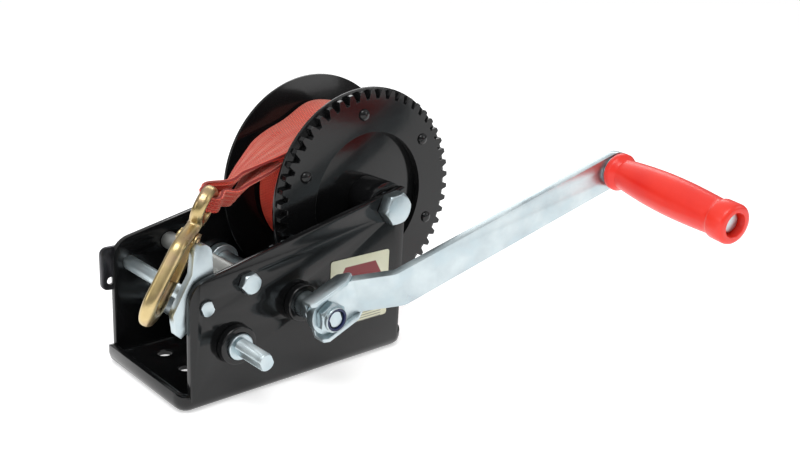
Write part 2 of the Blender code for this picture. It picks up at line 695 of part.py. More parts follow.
def slab(outline, low, high):
    """Extrude (x, y) points along Z."""
    bm = bmesh.new()
    lower = [bm.verts.new((x, y, low)) for x, y in outline]
    upper = [bm.verts.new((x, y, high)) for x, y in outline]
    bm.faces.new(lower)
    bm.faces.new(list(reversed(upper)))
    count = len(outline)
    for k in range(count):
        nxt = (k + 1) % count
        bm.faces.new((lower[k], upper[k], upper[nxt], lower[nxt]))
    return bm


def arm_path():
    """Arm's face line in its own (x, y) plane: hub end, two bends, grip end."""
    hub_end = Vector((-ARM_WIDTH / 2 - 0.001, 0))
    first = Vector((ARM_HUB_RUN, 0))
    second = first + ARM_OFFSET_RUN * Vector((cos(ARM_OFFSET_LEAN), -sin(ARM_OFFSET_LEAN)))
    lean = Vector((cos(ARM_LEAN), -sin(ARM_LEAN)))
    pin = second + ARM_RUN * lean
    return hub_end, first, second, pin, pin + (ARM_WIDTH / 2 + 0.001) * lean


def bent_line(points, radius, steps=4):
    """Points of a line with its corners rounded."""
    line = [points[0]]
    for before, corner, after in zip(points, points[1:], points[2:]):
        into = (corner - before).normalized()
        out = (after - corner).normalized()
        half = into.angle(out) / 2
        start = corner - into * radius * tan(half)
        end = corner + out * radius * tan(half)
        for k in range(steps + 1):
            t = k / steps
            line.append((1 - t) ** 2 * start + 2 * t * (1 - t) * corner + t * t * end)
    line.append(points[-1])
    return line


def thickened(line, thickness):
    """Outline of a strip whose outer face follows line and whose back lies at +Y of it."""
    back_line = []
    for k, point in enumerate(line):
        ahead = line[min(k + 1, len(line) - 1)]
        behind = line[max(k - 1, 0)]
        run = (ahead - behind).normalized()
        back_line.append(point + thickness * Vector((-run.y, run.x)))
    return [tuple(p) for p in line] + [tuple(p) for p in reversed(back_line)]


def placed(name, bm, place, mat, smooth=None):
    """Object built in a local frame and set there, its origin on the crank shaft."""
    bmesh.ops.transform(bm, matrix=place, verts=bm.verts)
    bmesh.ops.translate(bm, verts=bm.verts, vec=-CRANK_AXIS)
    obj = add_object(name, bm, mat, None, smooth)
    obj.location = CRANK_AXIS
    return obj


def build_crank():
    place = crank_place()
    hub_end, first, second, pin, end = arm_path()
    outline = thickened(bent_line([hub_end, first, second, end], 0.009), ARM_THICK)
    half = ARM_WIDTH / 2
    arm = placed("crank_arm", slab(outline, -half, half), place, ZINC, ROUND)
    silhouette = arc(0, 0, half, 90, 270, 10) + arc(end.x - half * cos(ARM_LEAN), 0, half, -90, 90, 10)
    rounding = cutter("arm_rounding", prism(silhouette, -0.08, 0.02, place))
    boolean(arm, rounding, "INTERSECT")
    stub = flatted(Vector(), STUB_DIAMETER / 2 + GAP, STUB_FLATS + 2 * GAP, 0, 8)
    boolean(arm, cutter("arm_stub", prism(stub, -0.01, 0.02, place)))
    build_bracket(place)
    build_nut(place)
    pin_place = grip_place(place, pin)
    boolean(arm, cutter("arm_pin", moved(
        lathe([(0, -0.01), (PIN_DIAMETER / 2 + GAP, -0.01), (PIN_DIAMETER / 2 + GAP, 0.02), (0, 0.02)],
              Vector(), 20), pin_place)))
    build_grip(pin_place)


def grip_place(place, pin):
    """Grip's own frame: -Y along the grip from the arm's face."""
    return place @ Matrix.Translation((pin.x, pin.y, 0)) @ Matrix.Rotation(-ARM_LEAN, 4, "Z")


def moved(bm, place):
    bmesh.ops.transform(bm, matrix=place, verts=bm.verts)
    return bm


def build_bracket(place):
    """U-shaped stiffener: web behind the arm, flanges outward along its edges."""
    web_back = ARM_THICK + GAP + BRACKET_SHEET
    half = ARM_WIDTH / 2 + GAP + BRACKET_SHEET
    side = [(-BRACKET_TAIL, web_back), (BRACKET_NOSE - 0.006, web_back), (BRACKET_NOSE, web_back - 0.006),
            (BRACKET_NOSE, 0.001), (BRACKET_NOSE - 0.008, -BRACKET_RISE),
            (-BRACKET_TAIL + 0.003, -BRACKET_RISE), (-BRACKET_TAIL, -BRACKET_RISE + 0.003)]
    bracket = placed("crank_bracket", slab(side, -half, half), place, ZINC)
    inner = ARM_WIDTH / 2 + GAP
    trough = [(-0.05, -0.03), (0.05, -0.03), (0.05, ARM_THICK + GAP), (-0.05, ARM_THICK + GAP)]
    boolean(bracket, cutter("bracket_trough", moved(slab(trough, -inner, inner), place)))
    stub = flatted(Vector(), STUB_DIAMETER / 2 + GAP, STUB_FLATS + 2 * GAP, 0, 8)
    boolean(bracket, cutter("bracket_stub", prism(stub, 0, 0.02, place)))


def build_nut(place):
    """Lock nut with a nylon ring in its collar."""
    seat = -GAP
    top = seat - NUT_HEX
    crown = top - NUT_COLLAR_HEIGHT
    corner = NUT_FLATS / 2 / cos(pi / 6)
    sides = prism(hexagon(Vector(), NUT_FLATS, radians(11)), top - 0.001, seat)
    nut = placed("crank_nut", sides, place, ZINC)
    collar = NUT_COLLAR / 2
    turned = [(0, crown), (collar - 0.001, crown), (collar, crown + 0.001), (collar, top),
              (corner, top + 0.0014), (corner, seat - 0.0008), (corner - 0.0008, seat + 0.0001),
              (0, seat + 0.0001)]
    boolean(nut, cutter("nut_crown", moved(lathe(turned, Vector(), 20), place)), "INTERSECT")
    cap = [(STUB_DIAMETER / 2, crown), (collar - 0.001, crown), (collar, crown + 0.001),
           (collar, top + 0.0005), (STUB_DIAMETER / 2, top + 0.0005)]
    unite(nut, placed("cut_nut_collar", lathe(cap, Vector(), 20), place, ZINC))
    stub = STUB_DIAMETER / 2 + GAP
    pocket = crown + RING_DEPTH + GAP
    bore = [(0, crown - 0.001), (RING_RADIUS + GAP, crown - 0.001), (RING_RADIUS + GAP, pocket),
            (stub, pocket), (stub, seat + 0.001), (0, seat + 0.001)]
    boolean(nut, cutter("nut_bore", moved(lathe(bore, Vector(), 16), place)))
    ring = [(stub, crown), (RING_RADIUS, crown),
            (RING_RADIUS, crown + RING_DEPTH), (stub, crown + RING_DEPTH)]
    placed("nut_ring", lathe(ring, Vector(), 16), place, BLUE_NYLON, ROUND)


def build_grip(place):
    """Moulded grip free to turn on a headed pin riveted through the arm."""
    start = -GAP - GRIP_WASHER - SIDE_PLAY
    end = start - GRIP_LENGTH
    collar = GRIP_COLLAR / 2
    waist = GRIP_WAIST / 2
    belly = GRIP_BELLY / 2
    bore = GRIP_BORE / 2
    recess = GRIP_RECESS / 2
    profile = [(bore, start), (collar - 0.0012, start), (collar, start - 0.0012), (collar, start - 0.0045),
               (collar - 0.0008, start - 0.0058)]
    for k in range(7):
        t = k / 6
        swell = sin(pi * t) ** 0.9
        taper = waist + (collar - 0.0015 - waist) * t ** 3
        profile.append((taper + (belly - waist) * swell, start - 0.0085 - (GRIP_LENGTH - 0.0235) * t))
    profile += [(collar, end + 0.0125), (collar, end + 0.0025), (collar - 0.0022, end + 0.0004),
                (collar - 0.0032, end), (recess, end), (recess, end + 0.008), (bore, end + 0.008)]
    grip = add_object("grip", lathe(profile, Vector(), 18), RED_PLASTIC, None, ROUND)
    grip.matrix_world = place
    head = PIN_HEAD / 2
    shank = PIN_DIAMETER / 2
    seat = end + 0.008 - SIDE_PLAY
    tail = ARM_THICK + GAP
    pin = [(0, seat - 0.003), (head - 0.0012, seat - 0.003), (head, seat - 0.0018), (head, seat),
           (shank, seat), (shank, tail), (shank + 0.0028, tail), (shank + 0.0018, tail + 0.0022),
           (0, tail + 0.0026)]
    placed("grip_pin", lathe(pin, Vector(), 16), place, ZINC, ROUND)
    washer = [(shank + GAP, -GAP), (collar - 0.002, -GAP), (collar - 0.002, -GAP - GRIP_WASHER),
              (shank + GAP, -GAP - GRIP_WASHER)]
    placed("grip_washer", lathe(washer, Vector(), 20), place, ZINC, ROUND)


# ---------------------------------------------------------------- pawl
def build_pawl():
    """Lever above the rod, a finger each side of the low pinion below it."""
    half = PAWL_LEVER_WIDTH / 2
    cap = PAWL_LEVER - half
    tip_a = radians(-129.4)
    tip_b = radians(14)
    hub = 0.0105
    outline = arc(0.0008, cap, half, 0, 180, 8)
    outline += [(-half - 0.0006, 0.0215), (-0.0140, 0.0095), (-0.0202, -0.0020), (-0.0186, -0.0152)]
    outline.append((PAWL_FINGER * cos(tip_a), PAWL_FINGER * sin(tip_a)))
    outline.append((-0.0080, -0.0135))
    outline += arc(0, 0, hub, -112, -22, 7)
    outline.append((PAWL_FINGER * cos(tip_b - 0.09), PAWL_FINGER * sin(tip_b - 0.09)))
    outline.append((PAWL_FINGER * cos(tip_b), PAWL_FINGER * sin(tip_b)))
    outline += [(0.0135, 0.0110), (half + 0.0015, 0.0200)]
    pawl = add_object("pawl", prism(outline, PAWL_LOW, PAWL_LOW + PAWL_THICK), ZINC, None, ROUND)
    pawl.location = ROD_AXIS
    bore = drill("pawl_bore", ROD_AXIS, FRONT_ROD_DIAMETER / 2 + GAP, PAWL_LOW - 0.01, PAWL_LOW + 0.01, 24)
    boolean(pawl, bore)


def helix(name, center, mean, wire, low, high, turns, mat, place=None):
    """Round-wire coil about the Y axis."""
    steps = int(turns * 10)
    sections = []
    for k in range(steps + 1):
        turn = 2 * pi * turns * k / steps
        y = low + wire / 2 + (high - low - wire) * k / steps
        ring = []
        for j in range(4):
            t = 2 * pi * j / 4
            r = mean + wire / 2 * cos(t)
            ring.append((center.x + r * cos(turn), y + wire / 2 * sin(t), center.z + r * sin(turn)))
        sections.append(ring)
    bm = loft(sections)
    if place is not None:
        bmesh.ops.transform(bm, matrix=place, verts=bm.verts)
    return add_object(name, bm, mat, None, ROUND)


def build_pawl_spring():
    low = PAWL_LOW + PAWL_THICK + GAP
    helix("pawl_spring", ROD_AXIS, FRONT_ROD_DIAMETER / 2 + 2 * GAP + SPRING_WIRE / 2, SPRING_WIRE,
          low, low + PAWL_SPRING_LENGTH, SPRING_TURNS, DARK_STEEL)


# ---------------------------------------------------------------- hook
def hook_place():
    """Hook's own frame at its eye: X towards the mouth, Z along the shank, Y across."""
    up = Vector(HOOK_SHANK).normalized()
    mouth = Vector(HOOK_MOUTH)
    mouth = (mouth - mouth.dot(up) * up).normalized()
    across = up.cross(mouth)
    turn = Matrix((mouth, across, up)).transposed().to_4x4()
    eye = Vector((back(HOOK_EYE[0]), HOOK_EYE[1], HOOK_EYE[2]))
    return Matrix.Translation(eye) @ turn


def hook_line():
    """(x, z, depth) along the bar's centre from the nose tip to the eye."""
    bottom = EYE_OUTER / 2 - HOOK_LENGTH
    bowl = bottom + HOOK_BOWL_DEPTH / 2 + HOOK_BOWL_RADIUS
    tip = bottom + HOOK_TIP_RISE
    line = []
    for k in range(5):
        t = k / 4
        depth = HOOK_TIP_DEPTH + (HOOK_BAR - HOOK_TIP_DEPTH) * min(1, 1.4 * t)
        line.append((HOOK_BOWL_RADIUS, tip + (bowl - tip) * t, depth))
    for k in range(1, 11):
        turn = pi * k / 10
        swell = sin(turn) ** 2
        line.append((HOOK_BOWL_RADIUS * cos(turn), bowl - HOOK_BOWL_RADIUS * sin(turn),
                     HOOK_BAR + (HOOK_BOWL_DEPTH - HOOK_BAR) * swell))
    neck = -EYE_OUTER / 2
    top = neck - 0.021
    for k in range(1, 5):
        line.append((-HOOK_BOWL_RADIUS, bowl + (top - bowl) * k / 4, HOOK_BAR))
    for k in range(1, 8):
        t = k / 7
        ease = t * t * (3 - 2 * t)
        line.append((-HOOK_BOWL_RADIUS * (1 - ease), top + (neck + 0.003 - top) * t, HOOK_BAR))
    return line


def hook_bar():
    """Skin an eight-cornered bar round the hook's centre line."""
    line = hook_line()
    sections = []
    for k, (x, z, depth) in enumerate(line):
        ahead = line[min(k + 1, len(line) - 1)]
        behind = line[max(k - 1, 0)]
        run = Vector((ahead[0] - behind[0], ahead[1] - behind[1])).normalized()
        side = Vector((-run.y, run.x))
        ring = []
        for j in range(8):
            t = 2 * pi * (j + 0.5) / 8
            across = abs(cos(t)) ** 0.7 * (1 if cos(t) > 0 else -1)
            over = abs(sin(t)) ** 0.7 * (1 if sin(t) > 0 else -1)
            u = depth / 2 * across
            ring.append((x + side.x * u, HOOK_BAR / 2 * over, z + side.y * u))
        sections.append(ring)
    first = sections[0]
    middle = Vector((line[0][0], 0, line[0][1]))
    cap = [tuple(middle + (Vector(p) - middle) * 0.6 + Vector((0, 0, 0.0025))) for p in first]
    return loft([cap] + sections)


def build_hook():
    place = hook_place()
    body = add_object("hook_body", hook_bar(), GOLD_ZINC, None, ROUND)
    body.matrix_world = place
    hole = EYE_HOLE / 2
    outer = EYE_OUTER / 2
    half = EYE_THICK / 2
    eye = [(hole, -half * 0.45), (hole + 0.0012, -half), (outer - 0.0016, -half), (outer, -half * 0.5),
           (outer, half * 0.5), (outer - 0.0016, half), (hole + 0.0012, half), (hole, half * 0.45)]
    ring = add_object("cut_eye", lathe(eye, Vector(), 24), GOLD_ZINC)
    ring.matrix_world = place
    unite(body, ring)
    pivot = Vector((LATCH_PIVOT[0], 0, LATCH_PIVOT[1]))
    wide = LUG_WIDTH / 2
    lug = lathe([(0, -wide), (0.0042, -wide), (0.0042, wide), (0, wide)], pivot, 20)
    lug = add_object("cut_lug", lug, GOLD_ZINC)
    lug.matrix_world = place
    unite(body, lug)
    radius = LATCH_RIVET / 2 + GAP
    pin = lathe([(0, -0.01), (radius, -0.01), (radius, 0.01), (0, 0.01)], pivot, 16)
    bore = cutter("hook_pin", pin)
    bore.matrix_world = place
    boolean(body, bore)
    relief = lathe([(0, wide), (0.0052, wide), (0.0052, 0.01), (0, 0.01)], pivot, 20)
    relief = cutter("spring_seat", relief)
    relief.matrix_world = place
    boolean(body, relief)
    build_latch(place, pivot)


def build_latch(place, pivot):
    """Channel-shaped keeper straddling the shank, its free end inside the nose."""
    inner = HOOK_BAR / 2 + GAP
    outer = inner + LATCH_SHEET
    nose = HOOK_BOWL_RADIUS - HOOK_BAR / 2 - GAP
    top = pivot.z + 0.0065
    side = [(nose - 0.0002, LATCH_END), (nose - 0.0045, LATCH_END)]
    side += arc(pivot.x - 0.0004, pivot.z, 0.0050, 200, 90, 6)
    side += [(pivot.x + 0.0045, top), (nose - 0.0002, top - 0.006)]
    latch = add_object("hook_latch", prism(side, -outer, outer), GOLD_ZINC)
    latch.matrix_world = place
    inside = [(nose - 0.0002 - LATCH_SHEET, LATCH_END - 0.002), (-0.02, LATCH_END - 0.002),
              (-0.02, top + 0.01), (pivot.x + 0.0045 - LATCH_SHEET, top + 0.01),
              (pivot.x + 0.0045 - LATCH_SHEET, top - 0.0007),
              (nose - 0.0002 - LATCH_SHEET, top - 0.0067)]
    trough = cutter("latch_trough", prism(inside, -inner, inner))
    trough.matrix_world = place
    boolean(latch, trough)
    wide = LATCH_RIVET / 2
    holes = lathe([(0, -0.02), (wide + GAP, -0.02), (wide + GAP, 0.02), (0, 0.02)], pivot, 16)
    holes = cutter("latch_holes", holes)
    holes.matrix_world = place
    boolean(latch, holes)
    face = outer + GAP
    head = wide + 0.0014
    rivet = [(0, -face - 0.0010), (head * 0.8, -face - 0.0009), (head, -face), (wide, -face), (wide, face),
             (head, face), (head * 0.8, face + 0.0009), (0, face + 0.0010)]
    pin = add_object("latch_rivet", lathe(rivet, pivot, 16), GOLD_ZINC, None, ROUND)
    pin.matrix_world = place
    low = LUG_WIDTH / 2 + GAP
    spring = helix("latch_spring", pivot, wide + 0.0008, LATCH_WIRE, low, inner - GAP, 2.5, DARK_STEEL)
    spring.matrix_world = place


# ---------------------------------------------------------------- strap
def smooth_line(stations, steps):
    """Catmull-Rom through stations, each a flat tuple of numbers."""
    points = []
    count = len(stations)
    for k in range(count - 1):
        a = stations[max(k - 1, 0)]
        b = stations[k]
        c = stations[k + 1]
        d = stations[min(k + 2, count - 1)]
        for j in range(steps):
            t = j / steps
            points.append(tuple(
                0.5 * (2 * q + (r - p) * t + (2 * p - 5 * q + 4 * r - s) * t * t
                       + (3 * q - p - 3 * r + s) * t ** 3)
                for p, q, r, s in zip(a, b, c, d)))
    points.append(stations[-1])
    return points


def strap_stations():
    """(centre, across, half width, cupping) along the free strap, drum to sewn end."""
    place = hook_place()
    flat = Vector((0, 1, 0))
    place = place @ Matrix.Rotation(STRAP_PULL, 4, "Y")
    pull = place.to_3x3() @ Vector((1, 0, 0))
    wide = STRAP_WIDTH / 2

    def on_drum(angle, radius):
        turn = radians(angle)
        return DRUM_AXIS + Vector((radius * cos(turn), STRAP_MIDDLE, radius * sin(turn)))

    def free(distance, across, height):
        return Vector((back(distance), across, height))

    def eye(y, z, x=0.0):
        return place @ Vector((x, y, z))

    hole = EYE_HOLE / 2 - GAP - STRAP_THICK / 2
    beside = EYE_THICK / 2 + GAP + STRAP_THICK / 2 + 0.0004
    start = COIL_RADIUS + GAP + STRAP_THICK / 2
    return [
        (on_drum(48, start + 0.0002), flat, wide, 0),
        (on_drum(64, start + 0.0020), flat, wide, 0),
        (on_drum(80, start + 0.0042), flat, wide, 0),
        (on_drum(100, start + 0.0048), flat, wide, 0),
        (free(0.1290, STRAP_MIDDLE, 0.1605), flat, wide, 0),
        (free(0.1120, 0.0065, 0.1545), flat, wide * 0.92, 0),
        (free(0.0940, 0.0015, 0.1485), flat, wide * 0.74, 0),
        (free(0.0770, -0.0030, 0.1420), flat.lerp(pull, 0.15), wide * 0.54, 0),
        (free(0.0630, -0.0080, 0.1368), flat.lerp(pull, 0.4), wide * 0.40, 0),
        (free(0.0510, -0.0145, 0.1325), flat.lerp(pull, 0.75), wide * 0.30, 0),
        (eye(beside, 0.0165), pull, wide * 0.26, 0),
        (eye(beside, 0.0110), pull, wide * 0.24, 0.2),
        (eye(beside - 0.0013, hole + 0.0010), pull, wide * 0.22, 0.8),
        (eye(0, hole), pull, wide * 0.215, 1),
        (eye(0.0013 - beside, hole + 0.0010), pull, wide * 0.22, 0.8),
        (eye(-beside, 0.0110), pull, wide * 0.24, 0.2),
        (eye(-beside, 0.0165), pull, wide * 0.26, 0),
        (free(0.0530, -0.0185, 0.1262), flat.lerp(pull, 0.75), wide * 0.30, 0),
        (free(0.0650, -0.0120, 0.1300), flat.lerp(pull, 0.4), wide * 0.40, 0),
        (free(0.0780, -0.0060, 0.1352), flat.lerp(pull, 0.15), wide * 0.52, 0),
        (free(0.0900, -0.0010, 0.1408), flat, wide * 0.62, 0),
    ]


def build_strap_run():
    """The strap from the drum's top round the hook's eye to its sewn end."""
    flat_stations = [(*centre, *across, half, cup) for centre, across, half, cup in strap_stations()]
    line = smooth_line(flat_stations, 2)
    sections = []
    for k, station in enumerate(line):
        centre = Vector(station[:3])
        ahead = Vector(line[min(k + 1, len(line) - 1)][:3])
        behind = Vector(line[max(k - 1, 0)][:3])
        run = (ahead - behind).normalized()
        across = Vector(station[3:6])
        across = (across - across.dot(run) * run).normalized()
        over = across.cross(run)
        half, cup = station[6], station[7]
        radius = EYE_HOLE / 2 - GAP - STRAP_THICK / 2
        ring = []
        for side in (1, -1):
            for j in range(5):
                u = (1 - j / 2) * side
                sag = cup * radius * (1 - cos(min(1.2, abs(u) * half / radius)))
                lift = side * STRAP_THICK / 2
                ring.append(centre + across * u * half + over * (sag + lift))
        sections.append(ring)
    add_object("strap_run", loft(sections), RED_WEBBING, None, ROUND)


build_frame()
build_side_tab()
build_label()
build_rods()
build_drum()
build_gears()
build_shafts()
build_crank()
build_pawl()
build_pawl_spring()
build_hook()
build_strap_run()
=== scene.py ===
# %% [markdown]
# # A hand winch for a boat trailer
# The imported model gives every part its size, place and joint.  This lesson dresses it: finer
# meshes where light shows an edge, and a material for each finish.  Everything starts from the
# loaded frame, so a piece is placed by asking where its neighbour is.

# %% Load the frame
import json
from math import acos, cos, pi, radians, sin, tan
import bmesh
import bpy
from mathutils import Matrix, Vector, noise


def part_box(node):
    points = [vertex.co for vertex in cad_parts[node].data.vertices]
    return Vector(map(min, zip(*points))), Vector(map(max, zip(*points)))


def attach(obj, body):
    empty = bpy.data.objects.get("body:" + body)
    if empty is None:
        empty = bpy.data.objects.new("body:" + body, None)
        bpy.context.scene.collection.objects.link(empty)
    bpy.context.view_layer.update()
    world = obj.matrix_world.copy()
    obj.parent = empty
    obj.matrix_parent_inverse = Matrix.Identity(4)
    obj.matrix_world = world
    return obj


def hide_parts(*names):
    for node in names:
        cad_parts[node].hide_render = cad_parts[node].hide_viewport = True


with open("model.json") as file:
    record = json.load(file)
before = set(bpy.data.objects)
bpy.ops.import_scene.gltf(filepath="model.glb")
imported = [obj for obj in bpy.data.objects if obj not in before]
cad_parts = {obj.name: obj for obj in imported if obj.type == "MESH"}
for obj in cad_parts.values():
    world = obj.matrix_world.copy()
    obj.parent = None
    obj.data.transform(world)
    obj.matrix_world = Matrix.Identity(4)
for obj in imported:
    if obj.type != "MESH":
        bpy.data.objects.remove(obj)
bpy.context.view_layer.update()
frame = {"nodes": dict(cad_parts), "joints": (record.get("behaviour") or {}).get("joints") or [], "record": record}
nodes = frame["nodes"]
joints = {joint["name"]: joint for joint in frame["joints"]}
MM = 0.001

# %% [markdown]
# ## Camera
# The winch is seen from about two feet away, a little above it and turned three quarters.  The
# camera is placed by the way it looks: round the object, down, and a slight roll that makes the
# base run uphill.

# %% Camera
LOOK_ROUND = radians(-43.41)
LOOK_DOWN = radians(17.51)
ROLL = radians(3.38)
LENS = 42.66
STANDS_AT = (-0.3621, -0.5232, 0.3005)


def camera_axes(azimuth, down, roll):
    """Right, up and backward directions of a camera that looks along azimuth and down."""
    forward = Vector((-sin(azimuth) * cos(down), cos(azimuth) * cos(down), -sin(down)))
    level = Vector((cos(azimuth), sin(azimuth), 0))
    upright = level.cross(forward)
    right = cos(roll) * level + sin(roll) * upright
    return right, right.cross(forward), -forward


camera = bpy.data.objects.new("camera", bpy.data.cameras.new("camera"))
bpy.context.scene.collection.objects.link(camera)
camera.data.lens = LENS
camera.data.clip_start = 0.02
turned_to = Matrix(camera_axes(LOOK_ROUND, LOOK_DOWN, ROLL)).transposed().to_4x4()
camera.matrix_world = Matrix.Translation(STANDS_AT) @ turned_to
bpy.context.scene.camera = camera
print("camera looks along", -camera.matrix_world.col[2].xyz)

# %% [markdown]
# ## Floor and light
# A white sweep under broad soft boxes.  Black gloss paint and bright plating have almost no colour
# of their own: what shows is the shape of the lamps in them, so the boxes are large and one of
# them is a long strip that draws a highlight along edges and bars.

# %% Floor and light
def new_object(name, mesh):
    obj = bpy.data.objects.new(name, mesh)
    bpy.context.scene.collection.objects.link(obj)
    return obj


def soft_box(name, place, target, size, power):
    lamp = bpy.data.lights.new(name, "AREA")
    lamp.shape = "RECTANGLE"
    lamp.size, lamp.size_y = size
    lamp.energy = power
    obj = new_object(name, lamp)
    obj.location = place
    obj.rotation_euler = (Vector(target) - Vector(place)).to_track_quat("-Z", "Y").to_euler()
    return obj


sweep = bmesh.new()
bmesh.ops.create_grid(sweep, x_segments=1, y_segments=1, size=6.0)
floor_mesh = bpy.data.meshes.new("floor")
sweep.to_mesh(floor_mesh)
sweep.free()
floor_sheet = new_object("floor", floor_mesh)
floor_sheet.location.z = -0.0002

AIM = (0.03, 0.0, 0.09)
soft_box("key_box", (-0.45, -0.30, 1.25), AIM, (0.8, 0.6), 7.5)
soft_box("side_box", (-1.15, 0.30, 0.60), AIM, (0.6, 0.5), 1.8)
soft_box("rear_strip", (0.75, 0.75, 0.85), AIM, (1.2, 0.3), 3.5)
soft_box("crank_box", (0.85, -1.05, 0.60), AIM, (0.5, 0.6), 1.6)

# %% [markdown]
# The room is white where the camera looks at it, but dimmer near the horizon where metal mirrors
# it.  A bright plate in an evenly white room would vanish against the backdrop.

# %% Room
world = bpy.data.worlds.new("white_room")
world.use_nodes = True
room = world.node_tree
seen = room.nodes["Background"]
seen.inputs["Color"].default_value = (1, 1, 1, 1)
seen.inputs["Strength"].default_value = 1.05
mirrored = room.nodes.new("ShaderNodeBackground")
direction = room.nodes.new("ShaderNodeTexCoord")
parts = room.nodes.new("ShaderNodeSeparateXYZ")
by_height = room.nodes.new("ShaderNodeMapRange")
for key, number in (("From Min", 0.0), ("From Max", 0.75), ("To Min", 0.22), ("To Max", 0.85)):
    by_height.inputs[key].default_value = number
choose = room.nodes.new("ShaderNodeMixShader")
ray = room.nodes.new("ShaderNodeLightPath")
for source, target in ((direction.outputs["Generated"], parts.inputs[0]),
                       (parts.outputs["Z"], by_height.inputs["Value"]),
                       (by_height.outputs["Result"], mirrored.inputs["Strength"]),
                       (ray.outputs["Is Camera Ray"], choose.inputs[0]),
                       (mirrored.outputs[0], choose.inputs[1]),
                       (seen.outputs[0], choose.inputs[2]),
                       (choose.outputs[0], room.nodes["World Output"].inputs[0])):
    room.links.new(source, target)
paper = bpy.data.materials.new("sweep_paper")
paper.use_nodes = True
sheet_shader = paper.node_tree.nodes["Principled BSDF"]
sheet_shader.inputs["Base Color"].default_value = (0.86, 0.86, 0.86, 1)
sheet_shader.inputs["Roughness"].default_value = 0.9
sheet_shader.inputs["Emission Color"].default_value = (1, 1, 1, 1)
sheet_shader.inputs["Emission Strength"].default_value = 0.50
floor_sheet.data.materials.append(paper)
bpy.context.scene.world = world
bpy.context.scene.view_settings.view_transform = "Standard"

# %% [markdown]
# ## Shared effects
# Three effects come back in many finishes, so each is a node group.  `edge_mask` finds where a
# surface turns sharply by comparing its normal with a rounded one.  `grain` gives fine height and
# slow colour drift from noise.  `scuffs` gives sparse thin scratches.

# %% Node tools
def link(tree, source, target):
    tree.links.new(source, target)


def node(tree, kind, **values):
    made = tree.nodes.new(kind)
    for key, value in values.items():
        setattr(made, key, value)
    return made


def new_group(name, inputs, outputs):
    group = bpy.data.node_groups.new(name, "ShaderNodeTree")
    for socket, default in inputs.items():
        kind = "NodeSocketVector" if default is None else "NodeSocketFloat"
        made = group.interface.new_socket(name=socket, in_out="INPUT", socket_type=kind)
        if default is not None:
            made.default_value = default
    for socket in outputs:
        group.interface.new_socket(name=socket, in_out="OUTPUT", socket_type="NodeSocketFloat")
    return group, group.nodes.new("NodeGroupInput"), group.nodes.new("NodeGroupOutput")


def math_node(tree, operation, first, second=None):
    made = node(tree, "ShaderNodeMath", operation=operation)
    for index, value in enumerate((first, second)):
        if value is None:
            continue
        if isinstance(value, (int, float)):
            made.inputs[index].default_value = value
        else:
            link(tree, value, made.inputs[index])
    return made.outputs[0]


def ramp(tree, value, low, high, to_low=0.0, to_high=1.0):
    made = node(tree, "ShaderNodeMapRange", clamp=True)
    for key, number in (("From Min", low), ("From Max", high), ("To Min", to_low), ("To Max", to_high)):
        made.inputs[key].default_value = number
    link(tree, value, made.inputs["Value"])
    return made.outputs["Result"]


# %% Edge mask, grain and scuffs
def build_edge_mask():
    group, given, made = new_group("edge_mask", {"Radius": 0.0006, "Break": 300.0}, ["Mask"])
    rounded = node(group, "ShaderNodeBevel", samples=4)
    link(group, given.outputs["Radius"], rounded.inputs["Radius"])
    flat = node(group, "ShaderNodeNewGeometry")
    turn = node(group, "ShaderNodeVectorMath", operation="DOT_PRODUCT")
    link(group, rounded.outputs["Normal"], turn.inputs[0])
    link(group, flat.outputs["Normal"], turn.inputs[1])
    edge = ramp(group, turn.outputs["Value"], 0.99, 0.86)
    spots = node(group, "ShaderNodeTexNoise")
    spots.inputs["Detail"].default_value = 3
    place = node(group, "ShaderNodeTexCoord")
    link(group, place.outputs["Object"], spots.inputs["Vector"])
    link(group, given.outputs["Break"], spots.inputs["Scale"])
    broken = ramp(group, spots.outputs["Fac"], 0.35, 0.6)
    link(group, math_node(group, "MULTIPLY", edge, broken), made.inputs["Mask"])
    return group


def build_grain():
    group, given, made = new_group("grain", {"Fine": 900.0, "Slow": 25.0}, ["Height", "Drift"])
    place = node(group, "ShaderNodeTexCoord")
    for scale, output, detail in (("Fine", "Height", 2), ("Slow", "Drift", 4)):
        spots = node(group, "ShaderNodeTexNoise")
        spots.inputs["Detail"].default_value = detail
        link(group, place.outputs["Object"], spots.inputs["Vector"])
        link(group, given.outputs[scale], spots.inputs["Scale"])
        link(group, spots.outputs["Fac"], made.inputs[output])
    return group


def build_scuffs():
    group, given, made = new_group("scuffs", {"Scale": 60.0, "Amount": 0.5}, ["Mask"])
    place = node(group, "ShaderNodeTexCoord")
    turned = node(group, "ShaderNodeMapping")
    turned.inputs["Rotation"].default_value = (0.4, 0.9, 0.6)
    turned.inputs["Scale"].default_value = (1.0, 0.06, 1.0)
    link(group, place.outputs["Object"], turned.inputs["Vector"])
    lines = node(group, "ShaderNodeTexNoise")
    lines.inputs["Detail"].default_value = 6
    link(group, turned.outputs["Vector"], lines.inputs["Vector"])
    link(group, given.outputs["Scale"], lines.inputs["Scale"])
    thin = ramp(group, lines.outputs["Fac"], 0.66, 0.72)
    link(group, math_node(group, "MULTIPLY", thin, given.outputs["Amount"]), made.inputs["Mask"])
    return group


EDGE_MASK = build_edge_mask()
GRAIN = build_grain()
SCUFFS = build_scuffs()
print("groups", [group.name for group in bpy.data.node_groups])


# %% [markdown]
# ## Finishes
# Every finish starts from the same skeleton: a Principled shader, a bump for its skin, and two
# colours mixed by a mask.  The functions below only say what is special about each.

# %% Material tools
def new_material(name, roughness, metallic=0.0):
    mat = bpy.data.materials.new(name)
    mat.use_nodes = True
    shader = mat.node_tree.nodes["Principled BSDF"]
    shader.inputs["Roughness"].default_value = roughness
    shader.inputs["Metallic"].default_value = metallic
    return mat, mat.node_tree, shader


def use_group(tree, group, **values):
    made = node(tree, "ShaderNodeGroup", node_tree=group)
    for key, value in values.items():
        made.inputs[key].default_value = value
    return made


